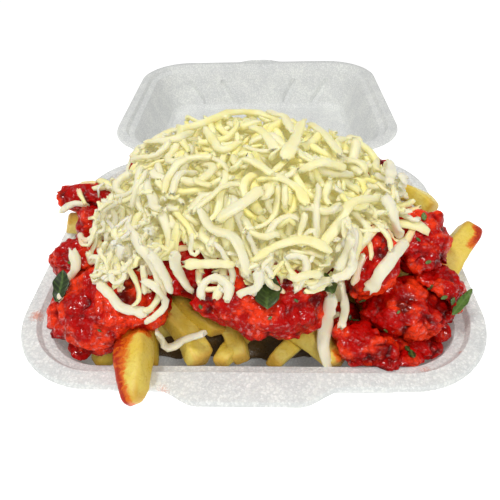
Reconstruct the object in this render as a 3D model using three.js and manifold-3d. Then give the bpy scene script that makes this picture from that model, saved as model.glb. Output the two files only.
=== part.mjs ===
// Cheese fries in an open foam takeaway box: thick-cut fries, chicken pieces in a red spiced sauce,
// green herbs and a heap of coarsely grated cheese. The hinged lid lies folded back behind the tray.
// Millimetres, +Z up, the table at z = 0. The origin is the middle of the tray's underside, +X is the
// eater's right and +Y points from the tray's front lip to its hinge.
import * as THREE from "three";
import { ImprovedNoise } from "three/addons/math/ImprovedNoise.js";
import { mergeVertices } from "three/addons/utils/BufferGeometryUtils.js";
import Module from "manifold-3d";

// The foam box
const BOX_WIDTH = 186;
const BOX_DEPTH = 152;
const TRAY_HEIGHT = 38;
const LID_HEIGHT = 35;
const CORNER_RADIUS = 36;
const FOOT_INSET = 21;
const HINGE = { gap: 8, length: 116, thickness: 1.2, overlap: 2 };
const LIP = { length: 40, reach: 6.2 };
const TAB = { length: 12, reach: 5.5 };
const TAB_NOTCH = { length: 22, width: 6, depth: 1 };
const CLEARANCE = 0.35;

// The food
const FRY_THICKNESS = 12;
const FRIES_TOP = 41;
const SURROUNDING_FRIES = 15;
const STRAND = { width: 4.6, thickness: 2.8, sink: 1.2, step: 9 };
const LOOSE_STRANDS = 15;
const LEAF_THICKNESS = 0.7;
const SMALLEST_DETAIL = 0.25;

const UP = new THREE.Vector3(0, 0, 1);
const GOLDEN_ANGLE = Math.PI * (3 - Math.sqrt(5));
const radians = THREE.MathUtils.degToRad;
const noise = new ImprovedNoise();
const wasm = await Module();
wasm.setup();

const FOAM = new THREE.MeshStandardMaterial({ color: 0xeeeeea, roughness: 0.7, metalness: 0 });
const POTATO = new THREE.MeshStandardMaterial({ color: 0xd9ac34, roughness: 0.5, metalness: 0 });
const CHICKEN = new THREE.MeshStandardMaterial({ color: 0xc81808, roughness: 0.3, metalness: 0 });
const SAUCE = new THREE.MeshStandardMaterial({ color: 0x9c0f08, roughness: 0.2, metalness: 0 });
const CHEESE = new THREE.MeshStandardMaterial({ color: 0xf0e8b4, roughness: 0.45, metalness: 0 });
const HERB = new THREE.MeshStandardMaterial({ color: 0x2f5a1c, roughness: 0.45, metalness: 0 });

// A repeatable draw of numbers from 0 to 1.
function seededDraw(seed) {
  let state = seed;
  return () => {
    state = (state * 1664525 + 1013904223) % 4294967296;
    return state / 4294967296;
  };
}

// A closed three.js geometry as a solid that can be joined and cut.
function toSolid(geometry) {
  const bare = geometry.clone();
  bare.deleteAttribute("normal");
  bare.deleteAttribute("uv");
  const merged = mergeVertices(bare, 1e-4);
  return new wasm.Manifold(
    new wasm.Mesh({
      numProp: 3,
      vertProperties: merged.attributes.position.array,
      triVerts: new Uint32Array(merged.index.array),
    }),
  );
}

function toGeometry(solid) {
  const mesh = solid.getMesh();
  const geometry = new THREE.BufferGeometry();
  geometry.setAttribute("position", new THREE.BufferAttribute(mesh.vertProperties, 3));
  geometry.setIndex(new THREE.BufferAttribute(mesh.triVerts, 1));
  geometry.computeVertexNormals();
  return geometry;
}

function joined(solids) {
  return solids.reduce((whole, solid) => whole.add(solid));
}

// The largest body of a solid: cutting can leave loose scraps, and joining can seal small pockets.
function largestBody(solid) {
  const bodies = toSolid(toGeometry(solid.simplify(SMALLEST_DETAIL))).decompose();
  return bodies.sort((a, b) => b.volume() - a.volume())[0];
}

// A skin over successive loops of the same number of points, closed by a fan at each end.
function skinLoops(loops) {
  const count = loops[0].length;
  const positions = loops.flat().flatMap((p) => [p.x, p.y, p.z]);
  const index = [];
  for (let ring = 0; ring + 1 < loops.length; ring++) {
    for (let i = 0; i < count; i++) {
      const a = ring * count + i;
      const b = ring * count + ((i + 1) % count);
      index.push(a, b, b + count, a, b + count, a + count);
    }
  }
  for (const [ring, flip] of [[0, true], [loops.length - 1, false]]) {
    const middle = new THREE.Vector3();
    loops[ring].forEach((p) => middle.addScaledVector(p, 1 / count));
    const centre = positions.length / 3;
    positions.push(middle.x, middle.y, middle.z);
    for (let i = 0; i < count; i++) {
      const a = ring * count + i;
      const b = ring * count + ((i + 1) % count);
      index.push(...(flip ? [b, a, centre] : [a, b, centre]));
    }
  }
  const geometry = new THREE.BufferGeometry();
  geometry.setAttribute("position", new THREE.Float32BufferAttribute(positions, 3));
  geometry.setIndex(index);
  return geometry;
}

// One level line of the box: a rectangle with round corners, set in from the rim, whose front edge
// swells out into a lip.
function boxOutline(inset, z, lip = { length: 40, reach: 0 }, divisions = 3) {
  const a = BOX_WIDTH / 2 - inset;
  const b = BOX_DEPTH / 2 - inset;
  const r = Math.max(CORNER_RADIUS - inset, 9);
  const half = lip.length / 2;
  const foot = half + 2.4 * LIP.reach;
  const out = -b - lip.reach;
  const path = new THREE.Path();
  path.moveTo(-a + r, -b);
  path.lineTo(-foot, -b);
  path.bezierCurveTo(-foot + LIP.reach, -b, -half - LIP.reach, out, -half, out);
  path.lineTo(half, out);
  path.bezierCurveTo(half + LIP.reach, out, foot - LIP.reach, -b, foot, -b);
  path.lineTo(a - r, -b);
  path.absarc(a - r, -b + r, r, -Math.PI / 2, 0);
  path.lineTo(a, b - r);
  path.absarc(a - r, b - r, r, 0, Math.PI / 2);
  path.lineTo(-a + r, b);
  path.absarc(-a + r, b - r, r, Math.PI / 2, Math.PI);
  path.lineTo(-a, -b + r);
  path.absarc(-a + r, -b + r, r, Math.PI, 1.5 * Math.PI);
  const points = path.getPoints(divisions);
  points.pop();
  return points.map((p) => new THREE.Vector3(p.x, p.y, z));
}

// A foam shell, from the middle of its underside out over the rim and down to the floor inside.
// Each entry: how far in from the rim, the height, and whether the lip is part of that level.
function foamShell(height, lip) {
  const profile = [
    [FOOT_INSET, 0, false],
    [18.6, 2.2, false],
    [11.2, height - 6.5, false],
    [9, height - 3.4, false],
    [0.9, height - 2.8, true],
    [0, height - 1.6, true],
    [0.9, height - 0.2, true],
    [6.4, height, false],
    [7.8, height - 2.6, false],
    [11.2, height - 3.8, false],
    [14.4, height - 10, false],
    [20.6, 6.4, false],
    [23.6, 3.2, false],
  ];
  const loops = profile.map(([inset, z, hasLip]) =>
    boxOutline(inset, z, { ...lip, reach: hasLip ? lip.reach : 0 }),
  );
  return toSolid(skinLoops(loops));
}

// The half of the pressed hinge strip that belongs to one rim, from y to y + width.
function hingeStrip(y, width, top) {
  const strip = new THREE.BoxGeometry(HINGE.length, width, HINGE.thickness);
  strip.translate(0, y + width / 2, top - HINGE.thickness / 2);
  return toSolid(strip);
}

const HINGE_Y = BOX_DEPTH / 2 + HINGE.gap / 2;
const HINGE_DROP = 0.4;

function makeTray() {
  const start = BOX_DEPTH / 2 - HINGE.overlap;
  const strip = hingeStrip(start, HINGE_Y - start - CLEARANCE, TRAY_HEIGHT - HINGE_DROP);
  return foamShell(TRAY_HEIGHT, LIP).add(strip);
}

// The lid in its own frame: hinge axis along X at the origin, rim level with the axis, opening up.
function makeLid() {
  const shell = foamShell(LID_HEIGHT, TAB)
    .rotate([0, 0, 180])
    .translate([0, BOX_DEPTH / 2 + HINGE.gap / 2, -LID_HEIGHT]);
  const farRim = BOX_DEPTH + HINGE.gap / 2;
  const notch = new THREE.BoxGeometry(TAB_NOTCH.length, TAB_NOTCH.width, 2 * TAB_NOTCH.depth);
  notch.translate(0, farRim + 1 - TAB_NOTCH.width / 2, 0);
  const strip = hingeStrip(CLEARANCE, HINGE.gap / 2 + HINGE.overlap - CLEARANCE, -HINGE_DROP);
  return shell.subtract(toSolid(notch)).add(strip);
}

// A thick fry from one end to the other: a square section, slightly bowed, with smaller ends. Its
// edges are chamfered, except on a plain one that is mostly covered.
function makeFry({ from, to, thick = FRY_THICKNESS, bow = 1.5, taper = 0.8, plain = false }, grow = 0) {
  const start = new THREE.Vector3(...from);
  const along = new THREE.Vector3(...to).sub(start);
  const across = new THREE.Vector3().crossVectors(along, UP).normalize();
  const upward = new THREE.Vector3().crossVectors(across, along).normalize();
  const chamfer = plain ? 0 : 0.45;
  const loops = (plain ? [0, 0.5, 1] : [0, 0.07, 0.5, 0.93, 1]).map((t) => {
    const isEnd = t === 0 || t === 1;
    const half = (thick / 2) * (isEnd ? 0.72 : 1) * (1 - (1 - taper) * t) + grow;
    const centre = start
      .clone()
      .addScaledVector(along, t)
      .addScaledVector(along.clone().normalize(), isEnd ? grow * Math.sign(t - 0.5) : 0)
      .addScaledVector(upward, bow * Math.sin(Math.PI * t));
    return [3, 2, 1, 0].flatMap((side) => {
      const [c, s] = [Math.cos((side * Math.PI) / 2), Math.sin((side * Math.PI) / 2)];
      return (plain ? [1] : [1, -1]).map((edge) => {
        const u = half * (c - edge * s * (1 - chamfer));
        const v = half * (s + edge * c * (1 - chamfer));
        return centre.clone().addScaledVector(across, u).addScaledVector(upward, v);
      });
    });
  });
  return toSolid(skinLoops(loops));
}

// Fries that show: where each starts and ends, and its thickness where it isn't the usual one.
const SHOWN_FRIES = [
  { from: [-46, -34, 36], to: [-37.5, -85.5, 44], thick: 13, taper: 0.6, bow: 2.5 },
  { from: [-60, 4, 37], to: [-88, 7, 45], thick: 10 },
  { from: [70, -37, 32], to: [94.5, -6, 52], thick: 11.5, taper: 0.95 },
  { from: [44, 30, 36], to: [71, 43, 39], thick: 10.5 },
  { from: [66, 42, 42], to: [83, 8, 51], thick: 11 },
  { from: [-39, -34, 35], to: [-18, -60, 30], thick: 11 },
  { from: [-31, -33, 38], to: [-12.5, -50, 34], thick: 8.5 },
  { from: [-43, -36, 33], to: [-40, -59, 28], thick: 8.5 },
  { from: [-14, -34, 34], to: [-3, -59, 29], thick: 9.5 },
  { from: [4, -38, 31], to: [-12.5, -60, 28], thick: 8.5 },
  { from: [2, -34, 35], to: [35, -61, 32], thick: 11.5 },
  { from: [28, -38, 26], to: [8, -60, 28], thick: 9 },
  { from: [44, -30, 33], to: [72, -41, 31], thick: 11 },
  { from: [-52, -34, 34], to: [-62, -56, 22], thick: 11 },
];

// The fries at the back and sides, one at each even step round the tray: by turns one that points
// outwards and one that lies along the wall on top of the others.
function surroundingFries() {
  const draw = seededDraw(11);
  return Array.from({ length: SURROUNDING_FRIES }, (_, n) => {
    const angle = radians(-14 + (208 * n) / (SURROUNDING_FRIES - 1));
    const [c, s] = [Math.cos(angle), Math.sin(angle)];
    const [x, y] = [68 * Math.sign(c) * Math.abs(c) ** 0.75, 53 * Math.sign(s) * Math.abs(s) ** 0.75];
    const thick = 9.5 + 2.5 * draw();
    if (n % 2 === 0) {
      const lean = angle + 1.2 * (draw() - 0.5);
      const length = 24 + 12 * draw();
      return {
        from: [x - length * Math.cos(lean), y - length * Math.sin(lean), 41],
        to: [x, y, 27 + 10 * draw()],
        thick,
        plain: true,
      };
    }
    const lean = Math.atan2(x / 68, -y / 53) + 0.7 * (draw() - 0.5);
    const half = 15 + 6 * draw();
    const tilt = 4 * (draw() - 0.5);
    const at = (end) => [
      0.84 * x + end * half * Math.cos(lean),
      0.84 * y + end * half * Math.sin(lean),
      39 + end * tilt,
    ];
    return { from: at(-1), to: at(1), thick, bow: 2, plain: true };
  });
}

// The packed mass of fries that fills the tray, without the pieces that show on it.
function friesCore(grow = 0) {
  const draw = seededDraw(5);
  const levels = [
    [24.8, 4],
    [21.6, 9],
    [24, 20],
    [34, 32],
    [46, FRIES_TOP + grow],
  ];
  const loops = levels.map(([inset, z]) =>
    boxOutline(inset - grow, z, undefined, 1).map((p) => {
      const share = 1 - (3 * draw()) / Math.hypot(p.x, p.y);
      return new THREE.Vector3(p.x * share, p.y * share, p.z);
    }),
  );
  return toSolid(skinLoops(loops));
}

function makeFries(grow = 0) {
  const pieces = [...SHOWN_FRIES, ...surroundingFries()].map((fry) => makeFry(fry, grow));
  return joined([friesCore(grow), ...pieces]);
}

// A lump with an uneven surface: an icosphere stretched to its radii, swollen and dented by noise, and
// flat below its floor. A grown one takes up the room that its neighbours have to keep clear of.
function makeLump(piece, grow = 0) {
  const { at, radii, turn = [0, 0, 0], rough = 0.2, detail = 3, seed = 0, floor = 0 } = piece;
  const ball = new THREE.IcosahedronGeometry(1, detail);
  const size = radii.map((radius) => radius + 1.5 * grow);
  const position = ball.attributes.position;
  const p = new THREE.Vector3();
  for (let i = 0; i < position.count; i++) {
    p.fromBufferAttribute(position, i).normalize();
    const broad = noise.noise(1.6 * p.x + seed, 1.6 * p.y, 1.6 * p.z);
    const fine = noise.noise(3.4 * p.x, 3.4 * p.y + seed, 3.4 * p.z);
    p.multiplyScalar(1 + rough * (1.6 * broad + fine));
    position.setXYZ(i, p.x * size[0], p.y * size[1], p.z * size[2]);
  }
  ball.applyMatrix4(new THREE.Matrix4().makeRotationFromEuler(new THREE.Euler(...turn.map(radians))));
  ball.translate(...at);
  for (let i = 0; i < position.count; i++) {
    position.setZ(i, Math.max(position.getZ(i), floor - grow));
  }
  return toSolid(ball);
}

// The chicken pieces, in the order that they were laid down.
const CHICKEN_PIECES = {
  chicken_front_right: { at: [43, -57, 38.5], radii: [13, 8.5, 7.5], turn: [0, 12, -16], detail: 2 },
  chicken_right_lower: { at: [59, -45, 43], radii: [16, 13, 12], detail: 2 },
  chicken_right_outer: { at: [73, -36, 46], radii: [11, 14, 9], turn: [0, 20, 12], detail: 2 },
  chicken_right_upper: { at: [66, -20, 56], radii: [14, 15, 13], detail: 2 },
  chicken_right_inner: { at: [45, -35, 57], radii: [11, 14, 15], turn: [14, 0, 0], detail: 2 },
  chicken_centre: { at: [5, -50, 54], radii: [25, 13, 12], turn: [20, 5, -3] },
  chicken_centre_left: { at: [-24, -38, 61], radii: [13, 11, 8], turn: [10, 20, 10], detail: 2 },
  chicken_front_left: { at: [-54, -47, 47], radii: [24, 17, 13], turn: [16, -6, 8] },
  chicken_left_lower: { at: [-70, -27, 50], radii: [11, 12, 12], detail: 2 },
  chicken_left_middle: { at: [-70, -5, 52], radii: [9, 11, 9], detail: 2 },
  chicken_left_upper: { at: [-75, 10, 57], radii: [15, 9, 6.5], turn: [0, 8, 6], detail: 2 },
  chicken_back_left: { at: [-46, 33, 55], radii: [18, 14, 11], turn: [0, 0, -20], detail: 2 },
  chicken_back: { at: [2, 43, 54], radii: [20, 12, 11], detail: 2 },
  chicken_back_right: { at: [48, 31, 55], radii: [18, 15, 12], turn: [0, 0, 15], detail: 2 },
};

const SAUCE_BED = {
  at: [0, -2, 46],
  radii: [68, 46, 8],
  rough: 0.06,
  seed: 31,
  floor: FRIES_TOP + 3,
};

// A map of how high the food stands, which grows as pieces are laid on it.
class HeightMap {
  constructor(halfX, halfY, cell) {
    Object.assign(this, { halfX, halfY, cell });
    this.columns = Math.round((2 * halfX) / cell) + 1;
    this.rows = Math.round((2 * halfY) / cell) + 1;
    this.heights = new Float32Array(this.columns * this.rows);
  }
  columnOf(x) {
    return THREE.MathUtils.clamp((x + this.halfX) / this.cell, 0, this.columns - 1);
  }
  rowOf(y) {
    return THREE.MathUtils.clamp((y + this.halfY) / this.cell, 0, this.rows - 1);
  }
  at(x, y) {
    return this.heights[Math.round(this.rowOf(y)) * this.columns + Math.round(this.columnOf(x))];
  }
  // Raises every cell under a solid to the solid's upper side.
  cover(solid) {
    const { vertProperties, triVerts } = solid.getMesh();
    const corner = (i) => new THREE.Vector3().fromArray(vertProperties, 3 * triVerts[i]);
    for (let i = 0; i < triVerts.length; i += 3) {
      const face = [corner(i), corner(i + 1), corner(i + 2)];
      const { min, max } = new THREE.Box3().setFromPoints(face);
      const flat = face.map((p) => p.clone().setZ(0));
      for (let row = Math.ceil(this.rowOf(min.y)); row <= this.rowOf(max.y); row++) {
        for (let column = Math.ceil(this.columnOf(min.x)); column <= this.columnOf(max.x); column++) {
          const spot = new THREE.Vector3(column * this.cell - this.halfX, row * this.cell - this.halfY, 0);
          const share = THREE.Triangle.getBarycoord(spot, ...flat, new THREE.Vector3());
          if (!share || Math.min(share.x, share.y, share.z) < 0) continue;
          const z = share.x * face[0].z + share.y * face[1].z + share.z * face[2].z;
          const cell = row * this.columns + column;
          this.heights[cell] = Math.max(this.heights[cell], z);
        }
      }
    }
  }
}

// The close-packed middle of the cheese heap: a broad dome that lies on whatever is under it.
const CHEESE_DOME = {
  x: 0,
  y: 2,
  rx: 62,
  ry: 53,
  base: 60,
  backSlope: 10,
  floor: 50,
  top: 89,
  power: 2.1,
};

function cheeseCore(ground) {
  const { x: domeX, y: domeY, rx, ry, base, backSlope, floor, top, power } = CHEESE_DOME;
  const draw = seededDraw(3);
  const around = 20;
  const ringAt = (rho, heightAt) =>
    Array.from({ length: around }, (_, i) => {
      const angle = (2 * Math.PI * i) / around;
      const r = rho + 0.05 * (draw() - 0.5);
      const [x, y] = [domeX + rx * r * Math.cos(angle), domeY + ry * r * Math.sin(angle)];
      return new THREE.Vector3(x, y, heightAt(x, y, r));
    });
  const under = (x, y) => Math.max(ground.at(x, y), floor) + CLEARANCE;
  const over = (x, y, r) => {
    const foot = base - backSlope * Math.max((y - domeY) / ry, 0);
    const dome = foot + (top - foot) * Math.max(1 - r ** power, 0) ** (1 / power);
    return Math.max(dome + 3 * (draw() - 0.5), under(x, y) + 2.5);
  };
  const underside = [0.3, 0.62, 0.9].map((rho) => ringAt(rho, under));
  const upperside = [0.97, 0.9, 0.72, 0.5, 0.24].map((rho) => ringAt(rho, over));
  return toSolid(skinLoops([...underside, ...upperside]));
}

// The line that a strand takes over the heap: it walks along its heading, turning as it goes, lies on
// the highest thing across its width, hangs down where the heap is steep, and bridges the dips that it
// is too stiff to follow.
function drape(heightAt, { x, y, heading, length, bend, wide = STRAND.width }) {
  const highest = (at, angle) =>
    Math.max(
      ...[-0.4, 0, 0.4].map((s) =>
        heightAt(at.x - s * wide * Math.sin(angle), at.y + s * wide * Math.cos(angle)),
      ),
    );
  const steps = Math.round(length / STRAND.step);
  const step = length / steps;
  const line = [];
  const spot = new THREE.Vector2(x, y);
  let angle = heading;
  for (let i = 0; i <= steps; i++) {
    const z = highest(spot, angle);
    line.push(new THREE.Vector3(spot.x, spot.y, z));
    const ahead = new THREE.Vector2(Math.cos(angle), Math.sin(angle));
    const rise = highest(spot.clone().addScaledVector(ahead, step), angle) - z;
    spot.addScaledVector(ahead, Math.max((step * step) / Math.hypot(step, rise), 0.35 * step));
    angle += bend / steps;
  }
  for (let pass = 0; pass < 3; pass++) {
    for (let i = 1; i < steps; i++) {
      line[i].z = Math.max(line[i].z, (line[i - 1].z + line[i + 1].z) / 2);
    }
  }
  return line;
}

// A flat-sided strand along a line, wide across the heap and thin upwards.
function makeStrand(line, width, thickness) {
  const loops = line.map((point, i) => {
    const before = line[Math.max(i - 1, 0)];
    const after = line[Math.min(i + 1, line.length - 1)];
    const along = after.clone().sub(before).normalize();
    const across = new THREE.Vector3(-along.y, along.x, 0).normalize();
    const upward = new THREE.Vector3().crossVectors(along, across).normalize();
    const size = i === 0 || i === line.length - 1 ? 0.7 : 1;
    return [[-1, -1], [1, -1], [1, 1], [-1, 1]].map(([u, v]) =>
      point
        .clone()
        .addScaledVector(across, (u * width * size) / 2)
        .addScaledVector(upward, (v * thickness * size) / 2),
    );
  });
  return toSolid(skinLoops(loops));
}

// Strands that stand out in the heap: where each begins, its heading and turn in degrees, its length.
const SHOWN_STRANDS = [
  { x: 33, y: -38, heading: -96, length: 34, bend: 14, wide: 6 },
  { x: 36, y: -20, heading: -62, length: 38, bend: 30 },
  { x: 58, y: -16, heading: -112, length: 34, bend: -20, wide: 6.4 },
  { x: -24, y: -34, heading: -118, length: 30, bend: 24 },
  { x: -44, y: -38, heading: -60, length: 26, bend: 34, wide: 5 },
  { x: -12, y: -36, heading: -80, length: 24, bend: -30 },
  { x: -5, y: -44, heading: 150, length: 26, bend: 70 },
  { x: -38, y: -28, heading: -140, length: 30, bend: 40 },
  { x: -56, y: -14, heading: -110, length: 28, bend: -30 },
  { x: 4, y: -30, heading: 40, length: 38, bend: -12, wide: 6 },
  { x: -6, y: -8, heading: 20, length: 46, bend: -110 },
  { x: -34, y: 32, heading: 12, length: 52, bend: -30 },
  { x: -50, y: 24, heading: 40, length: 40, bend: -70, wide: 5.4 },
  { x: -18, y: -4, heading: -86, length: 40, bend: -14 },
  { x: 12, y: 40, heading: 72, length: 32, bend: 20 },
  { x: -20, y: 38, heading: 112, length: 30, bend: -30 },
  { x: 36, y: 32, heading: 48, length: 34, bend: 30, wide: 5.4 },
  { x: -44, y: 28, heading: 146, length: 30, bend: 24 },
  { x: 52, y: 8, heading: 8, length: 30, bend: -34 },
  { x: -52, y: 8, heading: 172, length: 26, bend: 26, wide: 5.2 },
];

// Strands that lie apart from the heap, on the chicken and the fries.
const STRAY_STRANDS = {
  strand_left_lower: { x: -64, y: -34, heading: -118, length: 26, bend: 20 },
  strand_left_upper: { x: -84, y: 5, heading: 8, length: 18, bend: -20 },
  strand_fries: { x: -28, y: -54, heading: -50, length: 20, bend: 75 },
};

function inRadians({ heading, bend, ...rest }) {
  return { ...rest, heading: radians(heading), bend: radians(bend) };
}

// A piece laid down clear of the other food: it is lifted a little where it would cross that, and
// shortened if this isn't enough. Nothing, where it can't be laid at all.
function layClear(piece, others, make) {
  for (const share of [1, 0.75, 0.5]) {
    for (const lift of [0, 0.6, 1.2, 1.8, 2.4]) {
      const solid = make({ ...piece, length: share * piece.length }, lift);
      if (solid.intersect(others).volume() === 0) return solid;
    }
  }
  return null;
}

function layStrand(heightAt, strand, others) {
  return layClear(strand, others, (piece, lift) => {
    const line = drape(heightAt, piece);
    line.forEach((p) => (p.z += STRAND.thickness / 2 + CLEARANCE + lift));
    return makeStrand(line, piece.wide ?? STRAND.width, STRAND.thickness);
  });
}

// The cheese heap: loose strands spread evenly by a rule, then those that stand out, each sunk a
// little into the cheese under it.
function makeCheese(ground, others) {
  const draw = seededDraw(47);
  const core = largestBody(cheeseCore(ground).subtract(others));
  const pile = new HeightMap(ground.halfX, ground.halfY, ground.cell);
  pile.cover(core);
  const heightAt = (x, y) => Math.max(ground.at(x, y), pile.at(x, y) - STRAND.sink);
  const { x: domeX, y: domeY, rx, ry } = CHEESE_DOME;
  const spread = Array.from({ length: LOOSE_STRANDS }, (_, n) => {
    const rho = 0.97 * Math.sqrt((n + 0.5) / LOOSE_STRANDS);
    const heading = 2 * Math.PI * draw();
    const length = 22 + 16 * draw();
    return {
      x: domeX + rx * rho * Math.cos(n * GOLDEN_ANGLE) - (length / 2) * Math.cos(heading),
      y: domeY + ry * rho * Math.sin(n * GOLDEN_ANGLE) - (length / 2) * Math.sin(heading),
      heading,
      length,
      bend: 2.2 * (draw() - 0.5),
      wide: STRAND.width * (0.85 + 0.45 * draw()),
    };
  });
  const strands = [];
  for (const strand of [...spread, ...SHOWN_STRANDS.map(inRadians)]) {
    const solid = layStrand(heightAt, strand, others);
    if (!solid) continue;
    pile.cover(solid);
    strands.push(solid);
  }
  return largestBody(joined([core, ...strands]));
}

// Leaves: pointed blades, from their stalk end.
const HERB_PIECES = {
  herb_right: { x: 79, y: -51, heading: 46, bend: 5, length: 14, wide: 5, curl: 4 },
  herb_centre: { x: 3, y: -57, heading: 82, bend: 15, length: 15, wide: 9, curl: 0 },
  herb_centre_right: { x: 29, y: -53, heading: 96, bend: 15, length: 11, wide: 6, curl: 0 },
  herb_left: { x: -74, y: -48, heading: 80, bend: 15, length: 15, wide: 8, curl: 0 },
};

// A thin blade that follows the food under it, a little wavy, with both faces split alike.
function makeLeaf(heightAt, { wide, curl, ...place }, lift) {
  const steps = 5;
  const across = new THREE.Vector3(-Math.sin(place.heading), Math.cos(place.heading), 0);
  const line = new THREE.CatmullRomCurve3(drape(heightAt, { ...place, wide })).getPoints(steps);
  const loops = line.map((point, i) => {
    const t = i / steps;
    const half = (wide / 2) * Math.max(Math.sin(Math.PI * (0.1 + 0.85 * t)), 0.3);
    const height = point.z + CLEARANCE + lift + curl * t + 0.5 * (1 + Math.sin(5 * t));
    const rib = [-1, 0, 1].map((s) =>
      point.clone().setZ(height + 0.25 * half * s * s).addScaledVector(across, s * half),
    );
    const over = rib.map((p) => p.clone().setZ(p.z + LEAF_THICKNESS)).reverse();
    return [...rib, ...over];
  });
  return toSolid(skinLoops(loops));
}

// Each piece is cut clear of the food laid before it, and then takes up its own room.
const NUDGES = [[0, 0, 1], [0, 0, -1], [0, 1, 0], [0, -1, 0], [1, 0, 0], [-1, 0, 0]];

function roomFor(solid) {
  return joined(NUDGES.map((way) => solid.translate(way.map((d) => d * CLEARANCE))));
}

const tray = makeTray();
const trayRoom = roomFor(tray);
const fries = largestBody(makeFries().subtract(trayRoom));
let taken = joined([trayRoom, makeFries(CLEARANCE)]);

function layDown(lump) {
  const piece = largestBody(makeLump(lump).subtract(taken));
  taken = taken.add(makeLump(lump, CLEARANCE));
  return piece;
}

const sauce = layDown(SAUCE_BED);
const chicken = Object.entries(CHICKEN_PIECES).map(([name, lump], i) => [
  name,
  layDown({ ...lump, seed: 7 * i + 1 }),
]);

const ground = new HeightMap(100, 96, 1.5);
ground.cover(taken);
const groundAt = (x, y) => ground.at(x, y);
const herbs = Object.entries(HERB_PIECES).map(([name, leaf]) => {
  const blade = layClear(inRadians(leaf), taken, (piece, lift) => makeLeaf(groundAt, piece, lift));
  taken = taken.add(roomFor(blade));
  return [name, blade];
});
ground.cover(taken);

const cheese = makeCheese(ground, taken);
ground.cover(cheese);
taken = taken.add(cheese);
const strays = Object.entries(STRAY_STRANDS).map(([name, strand]) => [
  name,
  layStrand(groundAt, inRadians(strand), taken),
]);

const box = new THREE.Group();
const addNode = (name, solid, material, parent = box) => {
  const mesh = new THREE.Mesh(toGeometry(solid), material);
  mesh.name = name;
  parent.add(mesh);
};

addNode("tray", tray, FOAM);

// The lid lies back on the table: it hangs a little below level, until its far underside touches.
const LID_FOOT = HINGE.gap / 2 + BOX_DEPTH - FOOT_INSET;
const LID_DROOP = Math.asin((TRAY_HEIGHT - LID_HEIGHT) / LID_FOOT);
const lidGroup = new THREE.Group();
lidGroup.position.set(0, HINGE_Y, TRAY_HEIGHT);
lidGroup.rotation.x = -LID_DROOP;
box.add(lidGroup);
addNode("lid", makeLid(), FOAM, lidGroup);

addNode("fries", fries, POTATO);
addNode("sauce", sauce, SAUCE);
chicken.forEach(([name, solid]) => addNode(name, solid, CHICKEN));
addNode("cheese", cheese, CHEESE);
strays.forEach(([name, solid]) => addNode(name, solid, CHEESE));
herbs.forEach(([name, solid]) => addNode(name, solid, HERB));

export default box;
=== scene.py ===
# Cheese fries in an open foam takeaway box: fries, chicken in red sauce, herbs and grated cheese.
# The sizes are millimetres in the box's own frame, turned to metres where a piece is made.
import math
import random
from copy import deepcopy

import bmesh
import bpy
import numpy as np
from mathutils import Matrix, Vector, noise
from mathutils.bvhtree import BVHTree


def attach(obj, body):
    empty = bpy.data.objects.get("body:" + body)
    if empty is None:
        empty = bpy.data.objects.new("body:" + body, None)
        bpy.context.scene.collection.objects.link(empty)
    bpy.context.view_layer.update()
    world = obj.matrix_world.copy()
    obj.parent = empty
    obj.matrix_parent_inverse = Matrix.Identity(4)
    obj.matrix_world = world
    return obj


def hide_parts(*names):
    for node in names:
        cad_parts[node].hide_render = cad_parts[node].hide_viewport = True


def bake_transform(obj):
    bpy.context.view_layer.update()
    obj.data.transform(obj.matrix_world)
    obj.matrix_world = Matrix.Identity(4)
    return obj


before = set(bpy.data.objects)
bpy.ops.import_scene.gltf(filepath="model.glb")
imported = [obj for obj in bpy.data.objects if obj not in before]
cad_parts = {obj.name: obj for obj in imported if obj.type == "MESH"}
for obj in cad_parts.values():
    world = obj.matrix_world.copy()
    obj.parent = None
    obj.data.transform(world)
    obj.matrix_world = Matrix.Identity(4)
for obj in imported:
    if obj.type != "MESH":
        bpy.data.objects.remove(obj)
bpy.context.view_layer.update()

MM = 0.001
UP = Vector((0, 0, 1))

# The foam box, as in the model: the lid rests on its foot, that far behind the hinge, and a lip
# swells out over its sweep to each side
BOX_WIDTH = 186
BOX_DEPTH = 152
TRAY_HEIGHT = 38
LID_HEIGHT = 35
CORNER_RADIUS = 36
HINGE_Y = 80
HINGE_LENGTH = 116
LID_FOOT = 135
LIP = {"half": 20, "reach": 6.2}
TAB = {"half": 6, "reach": 5.5}
LIP_SWEEP = 14.9


def mm(value):
    """Millimetres as metres, for one number or several."""
    if isinstance(value, (int, float)):
        return value * MM
    return tuple(v * MM for v in value)


# Working by hand on a piece

def put_down():
    """Nothing stays selected, so that the next step acts on its own piece alone."""
    if bpy.context.mode != "OBJECT":
        bpy.ops.object.mode_set(mode="OBJECT")
    bpy.ops.object.select_all(action="DESELECT")


def take_up(piece):
    """The piece is selected on its own, for the next step to act on."""
    put_down()
    piece.select_set(True)
    bpy.context.view_layer.objects.active = piece


def start_piece(name):
    """The primitive just added becomes a piece, with its size in its mesh, ready for shaping."""
    piece = bpy.context.object
    piece.name = name
    piece.data.name = name
    bpy.ops.object.transform_apply(location=True, rotation=True, scale=True)
    bpy.ops.object.mode_set(mode="EDIT")
    return piece


def start_block(name, middle, size):
    """A rectangular block, ready for shaping."""
    put_down()
    bpy.ops.mesh.primitive_cube_add(size=1, location=mm(middle), scale=mm(size))
    return start_piece(name)


def pick(piece, kind, wanted):
    """Selects the vertices, edges or faces in edit mode that pass a test of their place."""
    bpy.ops.mesh.select_mode(type=kind)
    bpy.ops.mesh.select_all(action="DESELECT")
    mesh = bmesh.from_edit_mesh(piece.data)
    parts = {"VERT": mesh.verts, "EDGE": mesh.edges, "FACE": mesh.faces}[kind]
    for part in parts:
        if not part.hide and wanted(part):
            part.select_set(True)
    mesh.select_flush_mode()
    bmesh.update_edit_mesh(piece.data)


def runs_along(axis, least):
    """A test for edges that reach more than that many millimetres along an axis."""
    def test(edge):
        first, last = (getattr(v.co, axis) for v in edge.verts)
        return abs(first - last) > mm(least)

    return test


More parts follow.
